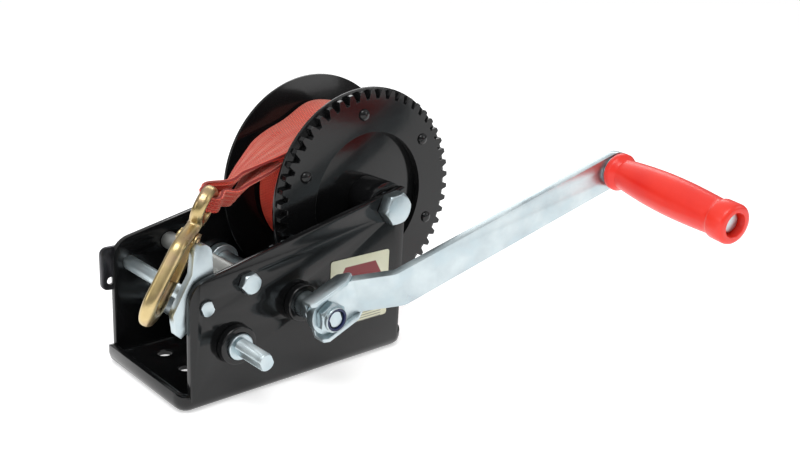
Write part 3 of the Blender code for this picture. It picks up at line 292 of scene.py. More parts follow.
def mix_colors(tree, mask, first, second):
    mix = node(tree, "ShaderNodeMix", data_type="RGBA")
    for value, socket in ((first, mix.inputs[6]), (second, mix.inputs[7])):
        if isinstance(value, tuple):
            socket.default_value = (*value, 1)
        else:
            link(tree, value, socket)
    link(tree, mask, mix.inputs["Factor"])
    return mix.outputs[2]


def bump(tree, shader, height, strength, distance):
    made = node(tree, "ShaderNodeBump")
    made.inputs["Strength"].default_value = strength
    made.inputs["Distance"].default_value = distance
    link(tree, height, made.inputs["Height"])
    link(tree, made.outputs["Normal"], shader.inputs["Normal"])


# %% [markdown]
# **Black paint.**  Powder coat on pressed steel: deep black, wet-looking gloss with a slight
# orange peel, thinner and greyer where it pulls back from a sheared edge.

# %% Black paint
def black_paint():
    mat, tree, shader = new_material("black_paint", 0.16)
    skin = use_group(tree, GRAIN, Fine=260.0, Slow=18.0)
    edge = use_group(tree, EDGE_MASK, Radius=0.0005, Break=160.0)
    scuff = use_group(tree, SCUFFS, Scale=45.0, Amount=0.35)
    deep, thin = (0.0035, 0.0036, 0.0040), (0.0075, 0.0078, 0.0082)
    body = mix_colors(tree, skin.outputs["Drift"], deep, thin)
    rubbed = math_node(tree, "MULTIPLY", edge.outputs["Mask"], 0.35)
    worn = mix_colors(tree, rubbed, body, (0.09, 0.09, 0.09))
    link(tree, worn, shader.inputs["Base Color"])
    wear = math_node(tree, "ADD", scuff.outputs["Mask"], edge.outputs["Mask"])
    rough = ramp(tree, wear, 0, 1, 0.15, 0.36)
    link(tree, rough, shader.inputs["Roughness"])
    shader.inputs["Coat Weight"].default_value = 0.1
    shader.inputs["Specular IOR Level"].default_value = 0.34
    shader.inputs["Coat Roughness"].default_value = 0.06
    bump(tree, shader, skin.outputs["Height"], 0.10, 0.0003)
    return mat


# %% [markdown]
# **Plated steel.**  Clear zinc is bluish and slightly milky, dull zinc is greyer, and the yellow
# passivate on the hook drifts from straw to olive with a trace of pink.  One function makes all of
# them, and the dark oiled steel too, because they differ only in colours and polish.

# %% Plated steel
def plated(name, light, dark, tint, low, high, streak=0.0):
    mat, tree, shader = new_material(name, low, 1.0)
    skin = use_group(tree, GRAIN, Fine=700.0, Slow=42.0)
    edge = use_group(tree, EDGE_MASK, Radius=0.0004, Break=200.0)
    scuff = use_group(tree, SCUFFS, Scale=90.0, Amount=0.7)
    body = mix_colors(tree, ramp(tree, skin.outputs["Drift"], 0.32, 0.68), dark, light)
    hue = node(tree, "ShaderNodeTexNoise")
    hue.inputs["Scale"].default_value = 75.0
    hue.inputs["Detail"].default_value = 2
    place = node(tree, "ShaderNodeTexCoord")
    link(tree, place.outputs["Object"], hue.inputs["Vector"])
    tinted = mix_colors(tree, ramp(tree, hue.outputs["Fac"], 0.48, 0.66, 0.0, 0.6), body, tint)
    bright = mix_colors(tree, math_node(tree, "MULTIPLY", edge.outputs["Mask"], 0.5), tinted, light)
    link(tree, bright, shader.inputs["Base Color"])
    drift = ramp(tree, skin.outputs["Drift"], 0.3, 0.7, low, high)
    link(tree, math_node(tree, "ADD", drift, math_node(tree, "MULTIPLY", scuff.outputs["Mask"], 0.12)),
         shader.inputs["Roughness"])
    if streak:
        shader.inputs["Anisotropic"].default_value = streak
    bump(tree, shader, skin.outputs["Height"], 0.12, 0.0002)
    return mat


# %% [markdown]
# **Moulded plastic.**  The grip is a saturated red with a satin skin: a soft broad highlight, a
# faint bloom under the surface, and a very fine texture.  The nut's ring is the same in dark blue.

# %% Moulded plastic
def moulded(name, deep, bright, rough, subsurface=0.0):
    mat, tree, shader = new_material(name, rough)
    skin = use_group(tree, GRAIN, Fine=1400.0, Slow=30.0)
    scuff = use_group(tree, SCUFFS, Scale=70.0, Amount=0.5)
    body = mix_colors(tree, ramp(tree, skin.outputs["Drift"], 0.3, 0.7), deep, bright)
    link(tree, body, shader.inputs["Base Color"])
    link(tree, ramp(tree, scuff.outputs["Mask"], 0, 1, rough, rough + 0.15), shader.inputs["Roughness"])
    shader.inputs["Subsurface Weight"].default_value = subsurface
    shader.inputs["Subsurface Scale"].default_value = 0.002
    bump(tree, shader, skin.outputs["Height"], 0.15, 0.0002)
    return mat


# %% [markdown]
# **Webbing.**  A trailer strap is woven polyester: bundles of warp run along it, and the weft dips
# under them, so the face is a grid of small diamonds in rows.  The strap's own coordinates, u
# across and v along in metres, keep the weave square however the strap bends.

# %% Webbing
RIB = 2.1 * MM
PICK = 2.0 * MM


def ridges(tree, value):
    """One rounded ridge for each whole step of value."""
    wave = math_node(tree, "SINE", math_node(tree, "MULTIPLY", value, pi))
    return math_node(tree, "POWER", math_node(tree, "ABSOLUTE", wave), 0.6)


def webbing(name, sheen):
    """sheen is the sheen weight.  The free end gets a strong sheen as painted light and the coil almost none as
    painted shade, so one webbing shows two tones where they meet.
    """
    mat, tree, shader = new_material(name, 0.62)
    place = node(tree, "ShaderNodeUVMap", uv_map="cloth")
    split = node(tree, "ShaderNodeSeparateXYZ")
    link(tree, place.outputs["UV"], split.inputs[0])
    across = math_node(tree, "DIVIDE", split.outputs["X"], RIB)
    along = math_node(tree, "DIVIDE", split.outputs["Y"], PICK)
    row = math_node(tree, "FLOOR", across)
    shifted = math_node(tree, "ADD", along, math_node(tree, "MULTIPLY", row, 0.5))
    warp, weft = ridges(tree, across), ridges(tree, shifted)
    cell = math_node(tree, "MULTIPLY", warp, weft)
    fuzz = use_group(tree, GRAIN, Fine=2600.0, Slow=60.0)
    drift = ramp(tree, fuzz.outputs["Drift"], 0.3, 0.7)
    thread = mix_colors(tree, drift, (0.84, 0.040, 0.018), (0.92, 0.085, 0.040))
    # The hollows between the ridges are mixed towards a dark red: painted shade in the weave's hollows, over the
    # bump's real relief.
    weave_painted_shade = mix_colors(tree, ramp(tree, cell, 0.05, 0.70), (0.22, 0.004, 0.003), thread)
    link(tree, weave_painted_shade, shader.inputs["Base Color"])
    shader.inputs["Sheen Weight"].default_value = sheen
    shader.inputs["Sheen Roughness"].default_value = 0.4
    shader.inputs["Sheen Tint"].default_value = (1.0, 0.72, 0.58, 1)
    height = math_node(tree, "ADD", cell, math_node(tree, "MULTIPLY", fuzz.outputs["Height"], 0.25))
    bump(tree, shader, height, 1.0, 0.0006)
    return mat


# %% Build the finishes
BLACK = black_paint()
ZINC = plated("zinc_plate", (0.62, 0.70, 0.72), (0.42, 0.49, 0.52), (0.48, 0.58, 0.62), 0.26, 0.44, 0.2)
GREY = plated("grey_zinc", (0.52, 0.53, 0.51), (0.36, 0.37, 0.36), (0.44, 0.45, 0.43), 0.38, 0.52)
GOLD = plated("yellow_zinc", (0.66, 0.52, 0.27), (0.36, 0.27, 0.11), (0.50, 0.34, 0.24), 0.24, 0.38)
DARK = plated("dark_steel", (0.16, 0.16, 0.17), (0.05, 0.05, 0.055), (0.10, 0.10, 0.12), 0.30, 0.45)
RED = moulded("red_plastic", (0.80, 0.022, 0.014), (0.90, 0.040, 0.022), 0.30, 0.08)
NYLON = moulded("blue_nylon", (0.010, 0.016, 0.06), (0.02, 0.03, 0.11), 0.42)
# The free strap and the coil are one webbing in two copies: strong sheen on the free strap is painted light,
# almost none on the coil is painted shade.
LIT_WEBBING = webbing("red_webbing", 1.0)
SHADED_WEBBING = webbing("shaded_webbing", 0.08)
FINISH = {"black_paint": BLACK, "zinc_plate": ZINC, "grey_zinc": GREY, "yellow_zinc": GOLD,
          "dark_steel": DARK, "red_plastic": RED, "blue_nylon": NYLON, "red_webbing": LIT_WEBBING}
print("finishes", sorted(FINISH))


# %% [markdown]
# ## Shape tools
# A machine like this is turned, sheared and pressed, so three builders cover most of it: `turned`
# spins a profile round the shafts' direction, `sheared` gives a flat outline its thickness, and
# `skinned` stretches a surface over a row of cross-sections.

# %% Outlines
GAP = 0.3 * MM
drum_axis = Vector(joints["drum_spin"]["pos_m"])
crank_axis = Vector(joints["crank_spin"]["pos_m"])
low_axis = Vector(joints["low_shaft_spin"]["pos_m"])
rod_axis = Vector(joints["pawl_rock"]["pos_m"])
grip_pin = Vector(joints["grip_spin"]["pos_m"])
CRANK_TURN = radians(22.2)
ORIGIN = Vector((0, 0, 0))


def arc(cx, cz, radius, start, end, steps):
    turns = [radians(start + (end - start) * k / steps) for k in range(steps + 1)]
    return [(cx + radius * cos(t), cz + radius * sin(t)) for t in turns]


def flatted(center, radius, flats, turn, steps=20):
    """Circle with two parallel flats."""
    half = acos(flats / 2 / radius)
    return [(center.x + radius * cos(t), center.z + radius * sin(t))
            for side in (0, pi) for k in range(steps + 1)
            for t in [turn + side + half + (pi - 2 * half) * k / steps]]


def hexagon(center, flats, turn):
    radius = flats / 2 / cos(pi / 6)
    return [(center.x + radius * cos(turn + k * pi / 3), center.z + radius * sin(turn + k * pi / 3))
            for k in range(6)]


# %% Turned, sheared and skinned
def joined(bm, rings, closed=False):
    pairs = list(zip(rings, rings[1:])) + ([(rings[-1], rings[0])] if closed else [])
    for one, two in pairs:
        count = max(len(one), len(two))
        for k in range(count):
            nxt = (k + 1) % count
            corners = [one[k % len(one)], two[k % len(two)], two[nxt % len(two)], one[nxt % len(one)]]
            bm.faces.new(list(dict.fromkeys(corners)))
    return bm


def turned(profile, center, steps=96):
    """Spin (radius, y) points about the Y axis through center."""
    bm = bmesh.new()
    rings = []
    for radius, y in profile:
        count = 1 if radius < 1e-7 else steps
        rings.append([bm.verts.new((center.x + radius * cos(2 * pi * k / steps), y,
                                    center.z + radius * sin(2 * pi * k / steps))) for k in range(count)])
    return joined(bm, rings, profile[0][0] >= 1e-7)


def sheared(outline, low, high):
    """Flat (x, z) outline given thickness along Y."""
    bm = bmesh.new()
    near = [bm.verts.new((x, low, z)) for x, z in outline]
    far = [bm.verts.new((x, high, z)) for x, z in outline]
    bm.faces.new(near)
    bm.faces.new(far)
    return joined(bm, [near, far])


def skinned(sections, closed=False):
    bm = bmesh.new()
    rings = [[bm.verts.new(p) for p in ring] for ring in sections]
    joined(bm, rings, closed)
    if not closed:
        bm.faces.new(rings[0])
        bm.faces.new(rings[-1])
    return bm


# %% Pieces from meshes
def piece(name, bm, place=None):
    if place is not None:
        bmesh.ops.transform(bm, matrix=place, verts=bm.verts)
    bmesh.ops.recalc_face_normals(bm, faces=bm.faces)
    mesh = bpy.data.meshes.new(name)
    bm.to_mesh(mesh)
    bm.free()
    return new_object(name, mesh)


def baked(obj):
    """Make the result of the modifiers the object's own mesh."""
    graph = bpy.context.evaluated_depsgraph_get()
    mesh = bpy.data.meshes.new_from_object(obj.evaluated_get(graph), depsgraph=graph)
    obj.modifiers.clear()
    obj.data = mesh
    return obj


def combine(obj, bm, operation="DIFFERENCE", place=None, solver="EXACT"):
    tool = piece("tool", bm, place)
    mod = obj.modifiers.new("combine", "BOOLEAN")
    mod.object, mod.operation, mod.solver = tool, operation, solver
    baked(obj)
    bpy.data.objects.remove(tool, do_unlink=True)
    return obj


def softened(obj, width, segments=2, angle=30):
    """Round the sharp edges a little, as every sheared or turned edge is."""
    if width:
        mod = obj.modifiers.new("edges", "BEVEL")
        mod.width, mod.segments, mod.limit_method = width, segments, "ANGLE"
        mod.angle_limit = radians(angle)
        mod.miter_outer = "MITER_ARC"
        baked(obj)
    obj.data.shade_smooth()
    obj.data.set_sharp_from_angle(angle=radians(32))
    return obj


def dress(obj, slot, body, *replaced):
    """Give a piece its finish, its body and the CAD nodes it stands for."""
    obj.data.materials.clear()
    obj.data.materials.append(FINISH[slot])
    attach(obj, body)
    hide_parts(*replaced)
    return obj


def body_of_node(name):
    return next(body for body, names in frame["record"]["behaviour"]["bodies"].items() if name in names)


SLOT_OF = {row["node"]: row["material_slot"] for row in frame["record"]["subparts"]}
made = set()


def stand_in(name, obj):
    """A finer piece takes the node's place, body and slot."""
    made.add(name)
    return dress(obj, SLOT_OF[name], body_of_node(name), name)


# %% [markdown]
# ## Drum, gear wheel and rivets
# The drum is two pressed discs with a tube between them.  A ring gear is riveted to the disc on the
# crank side.  The teeth are involutes: the flank is the path of a string's end as it unwinds.

# %% Flanges
FLANGE_BORE = 10.2 * MM
FLANGE_EDGE = 0.5 * MM
for name in ("flange_near", "flange_far"):
    low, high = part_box(name)
    outer = (high.x - low.x) / 2
    bore, edge = FLANGE_BORE, FLANGE_EDGE
    disc = [(bore, low.y), (outer - edge, low.y), (outer - edge * 0.3, low.y + edge * 0.3),
            (outer, low.y + edge), (outer, high.y - edge), (outer - edge * 0.3, high.y - edge * 0.3),
            (outer - edge, high.y), (bore, high.y)]
    disc = softened(piece(name + "_disc", turned(disc, drum_axis, 180)), 0)
    stand_in(name, disc)
    print(name, "radius", round(outer, 4))

# %% Gear outline
MODULE = 3 * MM
PRESSURE = radians(20)
TOOTH_GAP = 0.15 * MM
ROOT_DEPTH = 1.25


def involute(radius, base):
    ratio = acos(min(1, base / radius))
    return tan(ratio) - ratio


def gear_outline(teeth, addendum, phase, center, steps=5):
    pitch = teeth * MODULE / 2
    base = pitch * cos(PRESSURE)
    tip, root = pitch + addendum * MODULE, pitch - ROOT_DEPTH * MODULE
    half = pi / 2 / teeth - TOOTH_GAP / pitch + involute(pitch, base)
    low = max(base, root)
    reaches = [low + (tip - low) * k / steps for k in range(steps + 1)]
    flank = [(r, half - involute(r, base)) for r in reaches]
    if root < base:
        flank = [(root, half * 0.92), (base * 0.985, half - 0.2 * MM / base)] + flank
    points = []
    for k in range(teeth):
        middle = phase + 2 * pi * k / teeth
        tooth = [(r, middle - a) for r, a in flank] + [(r, middle + a) for r, a in reversed(flank)]
        points += [(center.x + r * cos(t), center.z + r * sin(t)) for r, t in tooth]
    return points


# %% Gears
TO_CRANK = radians(214.6)
TO_LOW = radians(198.5)
DRUM_TEETH, WHEEL_TEETH, PINION_TEETH = 51, 24, 12
STUB, FULL = 0.75, 1.0
RING_BORE, SHAFT_BORE = 49 * MM, 8.3 * MM
GEAR_EDGE = 0.3 * MM
DRUM_PHASE = TO_CRANK + pi / DRUM_TEETH
LOW_PHASE = TO_LOW + pi + pi / PINION_TEETH
wheels = (("drum_gear", DRUM_TEETH, STUB, DRUM_PHASE, drum_axis, RING_BORE),
          ("drive_pinion", PINION_TEETH, FULL, TO_CRANK + pi, crank_axis, SHAFT_BORE),
          ("intermediate_gear", WHEEL_TEETH, STUB, TO_LOW, crank_axis, SHAFT_BORE),
          ("low_pinion", PINION_TEETH, FULL, LOW_PHASE, low_axis, SHAFT_BORE))


def ring_gear(outline, axis, bore, low, high):
    """Wheel whose every outline point has a partner on the bore, so its faces are clean strips."""
    bm = bmesh.new()
    rows = []
    edge = GEAR_EDGE
    for kind, y in (("bore", low), ("eased", low), ("full", low + edge),
                    ("full", high - edge), ("eased", high), ("bore", high)):
        row = []
        for x, z in outline:
            away = Vector((x - axis.x, z - axis.z))
            reach = {"bore": bore, "eased": away.length - edge, "full": away.length}[kind]
            row.append(bm.verts.new((axis.x + away.x / away.length * reach, y,
                                     axis.z + away.y / away.length * reach)))
        rows.append(row)
    return joined(bm, rows, True)


for name, teeth, addendum, phase, axis, bore in wheels:
    low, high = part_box(name)
    rim = ring_gear(gear_outline(teeth, addendum, phase, axis), axis, bore, low.y, high.y)
    wheel = stand_in(name, softened(piece(name + "_teeth", rim), 0))
    print(name, teeth, "teeth", len(wheel.data.polygons), "faces")

# %% Rivets
DOME_RADIUS, DOME_HIGH = 4.25 * MM, 2.4 * MM
FOOT_RADIUS, FOOT_HIGH = 3.8 * MM, 1.4 * MM
RIVET_SHANK = 2.5 * MM


def quarter(radius, height, level, steps):
    """Quarter ellipse from the rim at level to the tip, which lies on the axis."""
    turns = [pi / 2 * j / steps for j in range(steps + 1)]
    points = [(radius * cos(t), level + height * sin(t)) for t in turns]
    points[-1] = (0, points[-1][1])
    return points


for k in range(1, 7):
    name = f"gear_rivet_{k}"
    low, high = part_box(name)
    middle = (low + high) / 2
    head, tail = low.y + DOME_HIGH, high.y - FOOT_HIGH
    dome = quarter(DOME_RADIUS, -DOME_HIGH, head, 8)[::-1]
    foot = quarter(FOOT_RADIUS, FOOT_HIGH, tail, 5)
    profile = dome + [(RIVET_SHANK, head), (RIVET_SHANK, tail)] + foot
    stand_in(name, softened(piece(name + "_dome", turned(profile, middle, 32)), 0))
print("rivets done")

# %% [markdown]
# ## Shafts, bushes and threads
# Both shafts end in a threaded stub with two flats, so the crank can drive either one.  The thread
# is a grid round the shaft whose radius follows a triangle wave that climbs one pitch per turn.
# Clamping the grid between the flats mills them in the same step.

# %% Threaded stub
def threaded(center, radius, pitch, tip, shoulder, flats, turn, steps=64):
    rows = int((shoulder - tip) / pitch * 8)
    depth = 0.55 * pitch
    sections = []
    for i in range(rows + 1):
        y = tip + (shoulder - tip) * i / rows
        lead = min(1.0, (y - tip + 0.15 * MM) / (1.2 * MM))
        ring = []
        for k in range(steps):
            angle = 2 * pi * k / steps
            wave = abs(2 * ((y / pitch + angle / 2 / pi) % 1) - 1)
            r = min(radius - depth * wave, radius - depth * (1 - lead))
            x, z = r * cos(angle), r * sin(angle)
            if flats:
                out = x * cos(turn + pi / 2) + z * sin(turn + pi / 2)
                over = max(0.0, abs(out) - flats / 2) * (1 if out > 0 else -1)
                x -= over * cos(turn + pi / 2)
                z -= over * sin(turn + pi / 2)
            ring.append((center.x + x, y, center.z + z))
        sections.append(ring)
    return skinned(sections)


# %% Shafts
SHOULDER_RADIUS, SHAFT_RADIUS = 8.75 * MM, 8 * MM
SHOULDER_END = -47.4 * MM
LOW_SHOULDER = -60.5 * MM
STUB_RADIUS, THREAD_PITCH = 6 * MM, 1.75 * MM
STUB_FLATS = 9 * MM
for name, axis in (("crank_shaft", crank_axis), ("low_shaft", low_axis)):
    low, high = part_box(name)
    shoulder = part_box("crank_bracket")[1].y + GAP if name == "crank_shaft" else LOW_SHOULDER
    big, bar = SHOULDER_RADIUS, SHAFT_RADIUS
    face = max(shoulder, low.y + 20 * MM)
    body = [(0, face), (big - 0.6 * MM, face), (big, face + 0.6 * MM), (big, SHOULDER_END),
            (bar, SHOULDER_END), (bar, high.y - 3.0 * MM), (bar - 1 * MM, high.y - 3.0 * MM),
            (bar - 1 * MM, high.y - 1.6 * MM), (bar, high.y - 1.6 * MM), (bar, high.y - 1 * MM),
            (bar - 1 * MM, high.y), (0, high.y)]
    shaft = piece(name + "_bar", turned(body, axis, 96))
    stub = threaded(axis, STUB_RADIUS, THREAD_PITCH, low.y, face + 0.2 * MM, STUB_FLATS,
                    CRANK_TURN - pi / 2)
    combine(shaft, stub, "UNION")
    stand_in(name, softened(shaft, 0))
    print(name, "from", round(low.y, 4), "shoulder", round(face, 4), "to", round(high.y, 4))

# %% Bushes, rods and small turned pieces
for name, axis, bore in (("crank_bush_near", crank_axis, 8.95), ("low_bush_near", low_axis, 8.95),
                         ("crank_bush_far", crank_axis, 8.2), ("low_bush_far", low_axis, 8.2)):
    low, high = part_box(name)
    side = -1 if low.y < 0 else 1
    inner, face = min(abs(low.y), abs(high.y)), max(abs(low.y), abs(high.y))
    out, rim = face - 5.7 * MM, 13 * MM
    profile = [(bore * MM, inner), (10 * MM, inner), (10 * MM, out), (rim - 0.3 * MM, out),
               (rim, out + 0.3 * MM)]
    profile += [(rim - 1.2 * MM * (1 - cos(t)), face - 1.2 * MM * (1 - sin(t)))
                for t in [pi / 2 * k / 5 for k in range(6)]]
    profile += [((bore + 0.4) * MM, face), (bore * MM, face - 0.4 * MM)]
    profile = [(r, side * y) for r, y in profile]
    stand_in(name, softened(piece(name + "_ring", turned(profile, axis, 80)), 0))

low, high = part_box("spacer_tube")
spacer_axis = (low + high) / 2
wall = [(4.25 * MM, low.y), (5.95 * MM, low.y), (6.25 * MM, low.y + 0.3 * MM),
        (6.25 * MM, high.y - 0.3 * MM), (5.95 * MM, high.y), (4.25 * MM, high.y)]
stand_in("spacer_tube", softened(piece("spacer_wall", turned(wall, spacer_axis, 72)), 0))

low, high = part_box("front_rod")
reach, rod = 47.7 * MM, 5 * MM
solid_rod = [(0, -reach), (rod, -reach), (rod, reach), (0, reach)]
front = piece("front_bar", turned(solid_rod, rod_axis, 64))
combine(front, sheared(flatted(rod_axis, 4.9 * MM, 8 * MM, CRANK_TURN), low.y, high.y), "UNION")
stand_in("front_rod", softened(front, 0.25 * MM, 2, 40))

low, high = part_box("shaft_collar")
sleeve = [(8.3 * MM, low.y), (12.1 * MM, low.y), (12.5 * MM, low.y + 0.4 * MM),
          (12.5 * MM, high.y), (8.3 * MM, high.y)]
stand_in("shaft_collar", softened(piece("collar_ring", turned(sleeve, crank_axis, 72)), 0))
print("turned pieces done", len(made))

# %% [markdown]
# ## Crank
# The arm is a flat bar bent twice, so that the hand clears the side plate.  A channel stiffens it
# at the shaft, a lock nut with a nylon ring holds it, and its far end carries the grip's pin.

# %% Arm
NEAR_PLATE = -52 * MM
ARM_OUT = 30.5 * MM
hub = crank_axis + Vector((0, NEAR_PLATE - ARM_OUT, 0))
arm_place = Matrix.Translation(hub) @ Matrix.Rotation(-CRANK_TURN, 4, "Y")
ARM_HALF = 12.7 * MM
ARM_THICK = 6 * MM
ARM_LEAN = radians(12.4)
HUB_RUN, JOG_RUN, ARM_RUN = 21.7 * MM, 32.8 * MM, 184.6 * MM
JOG_TURN = radians(47.9)
BEND_RADIUS = 9 * MM
hub_end = Vector((-ARM_HALF - 1 * MM, 0))
bend_a = Vector((HUB_RUN, 0))
bend_b = bend_a + JOG_RUN * Vector((cos(JOG_TURN), -sin(JOG_TURN)))
lean = Vector((cos(ARM_LEAN), -sin(ARM_LEAN)))
pin_at = bend_b + ARM_RUN * lean
arm_end = pin_at + (ARM_HALF + 1 * MM) * lean


def bent_line(points, radius, steps=14):
    line = [points[0]]
    for before, corner, after in zip(points, points[1:], points[2:]):
        into, out = (corner - before).normalized(), (after - corner).normalized()
        back = radius * tan(into.angle(out) / 2)
        start, end = corner - into * back, corner + out * back
        for k in range(steps + 1):
            t = k / steps
            line.append((1 - t) ** 2 * start + 2 * t * (1 - t) * corner + t * t * end)
    return line + [points[-1]]


def strip(line, thick, half):
    """A flat bar whose outer face follows line in (x, y)."""
    outline = [tuple(p) for p in line]
    for k in range(len(line) - 1, -1, -1):
        run = (line[min(k + 1, len(line) - 1)] - line[max(k - 1, 0)]).normalized()
        outline.append(tuple(line[k] + thick * Vector((-run.y, run.x))))
    bm = bmesh.new()
    low_ring = [bm.verts.new((x, y, -half)) for x, y in outline]
    high_ring = [bm.verts.new((x, y, half)) for x, y in outline]
    bm.faces.new(low_ring)
    bm.faces.new(high_ring)
    return joined(bm, [low_ring, high_ring])


middle_line = bent_line([hub_end, bend_a, bend_b, arm_end], BEND_RADIUS)
arm = piece("arm_bar", strip(middle_line, ARM_THICK, ARM_HALF), arm_place)
ends = arc(0, 0, ARM_HALF, 90, 270, 32)
ends += arc(arm_end.x - ARM_HALF * cos(ARM_LEAN), 0, ARM_HALF, -90, 90, 32)
combine(arm, sheared(ends, -80 * MM, 20 * MM), "INTERSECT", arm_place)
combine(arm, sheared(flatted(ORIGIN, 6.3 * MM, 9.6 * MM, 0), -0.01, 0.02), "DIFFERENCE", arm_place)
pin_place = arm_place @ Matrix.Translation((pin_at.x, pin_at.y, 0)) @ Matrix.Rotation(-ARM_LEAN, 4, "Z")
pin_hole = [(0, -0.01), (5.3 * MM, -0.01), (5.3 * MM, 0.02), (0, 0.02)]
combine(arm, turned(pin_hole, ORIGIN, 48), "DIFFERENCE", pin_place)
stand_in("crank_arm", softened(arm, 0.7 * MM, 3, 40))
print("arm", len(arm.data.polygons), "faces; pin misses the joint by",
      round((pin_place.translation - grip_pin).length / MM, 3), "mm")

# %% Lock nut and its ring
NUT_FLATS = 18.5 * MM
nut_top = -GAP - 6.2 * MM
crown = nut_top - 3 * MM
corner = NUT_FLATS / 2 / cos(pi / 6)
blank = sheared(hexagon(ORIGIN, NUT_FLATS, radians(11)), nut_top - 1 * MM, -GAP)
nut = piece("nut_hexagon", blank, arm_place)
crowned = [(0, crown), (7.6 * MM, crown), (8.4 * MM, nut_top), (corner, nut_top + 1.4 * MM),
           (corner, -1.1 * MM), (corner - 0.8 * MM, -0.2 * MM), (0, -0.2 * MM)]
combine(nut, turned(crowned, ORIGIN, 72), "INTERSECT", arm_place)
collar = [(5.9 * MM, crown), (7.4 * MM, crown)]
collar += [(7.4 * MM + 1 * MM * sin(t), crown + 1 * MM * (1 - cos(t)))
           for t in [pi / 2 * k / 6 for k in range(1, 7)]]
collar += [(8.4 * MM, nut_top + 0.5 * MM), (5.9 * MM, nut_top + 0.5 * MM)]
combine(nut, turned(collar, ORIGIN, 72), "UNION", arm_place)
bore = [(0, crown - 1 * MM), (7.7 * MM, crown - 1 * MM), (7.7 * MM, crown + 2.7 * MM),
        (6.3 * MM, crown + 2.7 * MM), (6.3 * MM, 1 * MM), (0, 1 * MM)]
combine(nut, turned(bore, ORIGIN, 64), "DIFFERENCE", arm_place)
stand_in("crank_nut", softened(nut, 0.2 * MM, 2, 40))
ring = [(6.3 * MM, crown + 0.1 * MM), (6.7 * MM, crown), (7.1 * MM, crown), (7.4 * MM, crown + 0.3 * MM),
        (7.4 * MM, crown + 2.4 * MM), (6.3 * MM, crown + 2.4 * MM)]
stand_in("nut_ring", softened(piece("nylon_ring", turned(ring, ORIGIN, 64), arm_place), 0))

# %% Grip and its pin
GRIP_LONG = 108 * MM
SHIM_THICK = 1.2 * MM
start = -GAP - SHIM_THICK - 0.6 * MM
end = start - GRIP_LONG
shoulder_rim = [(5.3, 0.0), (12.4, 0.0), (13.1, 0.3), (13.6, 1.2), (13.6, 4.2), (13.1, 5.3), (12.0, 6.4)]
swell = [(r * MM, start - y * MM) for r, y in shoulder_rim]
for k in range(41):
    t = k / 40
    taper = 10.75 * MM + 1.35 * MM * t ** 3
    swell.append((taper + 2.85 * MM * max(0.0, sin(pi * t)) ** 0.9, start - 8.5 * MM - 84.5 * MM * t))
end_rim = [(12.6, 13.9), (13.3, 13.2), (13.6, 12.2), (13.6, 2.6), (13.2, 1.4), (12.4, 0.5),
           (11.2, 0.1), (10.2, 0.0), (8.7, 0.0), (8.25, 0.4), (8.25, 8.0), (5.3, 8.0)]
swell += [(r * MM, end + y * MM) for r, y in end_rim]
grip = softened(piece("grip_moulding", turned(swell, ORIGIN, 112), pin_place), 0)
stand_in("grip", grip)
seat = end + 8 * MM - 0.6 * MM
tail = ARM_THICK + GAP
pin = [(0, -3.0), (5.4, -3.0), (6.4, -2.7), (7.0, -2.1), (7.25, -1.4), (7.25, 0.0), (5.0, 0.0)]
pin = [(r * MM, seat + y * MM) for r, y in pin]
peened = ((5.0, 0.0), (7.8, 0.0), (7.6, 1.0), (6.8, 1.9), (5.0, 2.4), (0, 2.6))
pin += [(r * MM, tail + y * MM) for r, y in peened]
stand_in("grip_pin", softened(piece("grip_spindle", turned(pin, ORIGIN, 64), pin_place), 0))
washer = [(5.3 * MM, -GAP), (11.6 * MM, -GAP),
          (11.6 * MM, -GAP - SHIM_THICK), (5.3 * MM, -GAP - SHIM_THICK)]
stand_in("grip_washer", softened(piece("grip_shim", turned(washer, ORIGIN, 64), pin_place), 0))
print("crank done; still to make", len(nodes) - len(made))

# %% [markdown]
# ## Hook
# A snap hook is forged: a hot bar is bent, and the eye flows into the shank without a corner.  The
# bar, eye and lug are joined, then remeshed on a fine grid and relaxed, which rounds the joins the
# way a die does.

# %% Hook's frame and bar
eye_at = Vector(joints["hook_swing"]["pos_m"])
shank_up = Vector((0.5907, 0.1244, 0.7969)).normalized()
across = Vector(joints["hook_swing"]["axis"])
mouth = across.cross(shank_up).normalized()
hook_place = Matrix.Translation(eye_at) @ Matrix((mouth, across, shank_up)).transposed().to_4x4()
BAR, BOWL = 9 * MM, 13 * MM
EYE_HOLE, EYE_OUTER, EYE_HALF = 8.25 * MM, 14 * MM, 4 * MM
bottom = EYE_OUTER - 96.5 * MM
bowl = bottom + 5.75 * MM + BOWL
tip = bottom + 33.5 * MM
neck, top = -EYE_OUTER, -EYE_OUTER - 21 * MM
line = [(BOWL, tip + (bowl - tip) * k / 10, (7 + 2 * min(1, 0.14 * k)) * MM) for k in range(11)]
line += [(BOWL * cos(t), bowl - BOWL * sin(t), BAR + 2.5 * MM * sin(t) ** 2)
         for t in [pi * k / 28 for k in range(1, 29)]]
line += [(-BOWL, bowl + (top - bowl) * k / 8, BAR) for k in range(1, 9)]
for k in range(1, 17):
    t = k / 16
    line.append((-BOWL * (1 - t * t * (3 - 2 * t)), top + (neck + 3 * MM - top) * t, BAR))


def bar_section(line, k, points=24, share=1.0, push=0.0):
    x, z, depth = line[k]
    ahead, behind = line[min(k + 1, len(line) - 1)], line[max(k - 1, 0)]
    run = Vector((ahead[0] - behind[0], ahead[1] - behind[1])).normalized()
    side = Vector((-run.y, run.x))
    ring = []
    for j in range(points):
        t = 2 * pi * (j + 0.5) / points
        u = depth / 2 * share * abs(cos(t)) ** 0.8 * (1 if cos(t) > 0 else -1)
        v = BAR / 2 * share * abs(sin(t)) ** 0.8 * (1 if sin(t) > 0 else -1)
        ring.append((x + side.x * u, v, z + side.y * u + push))
    return ring


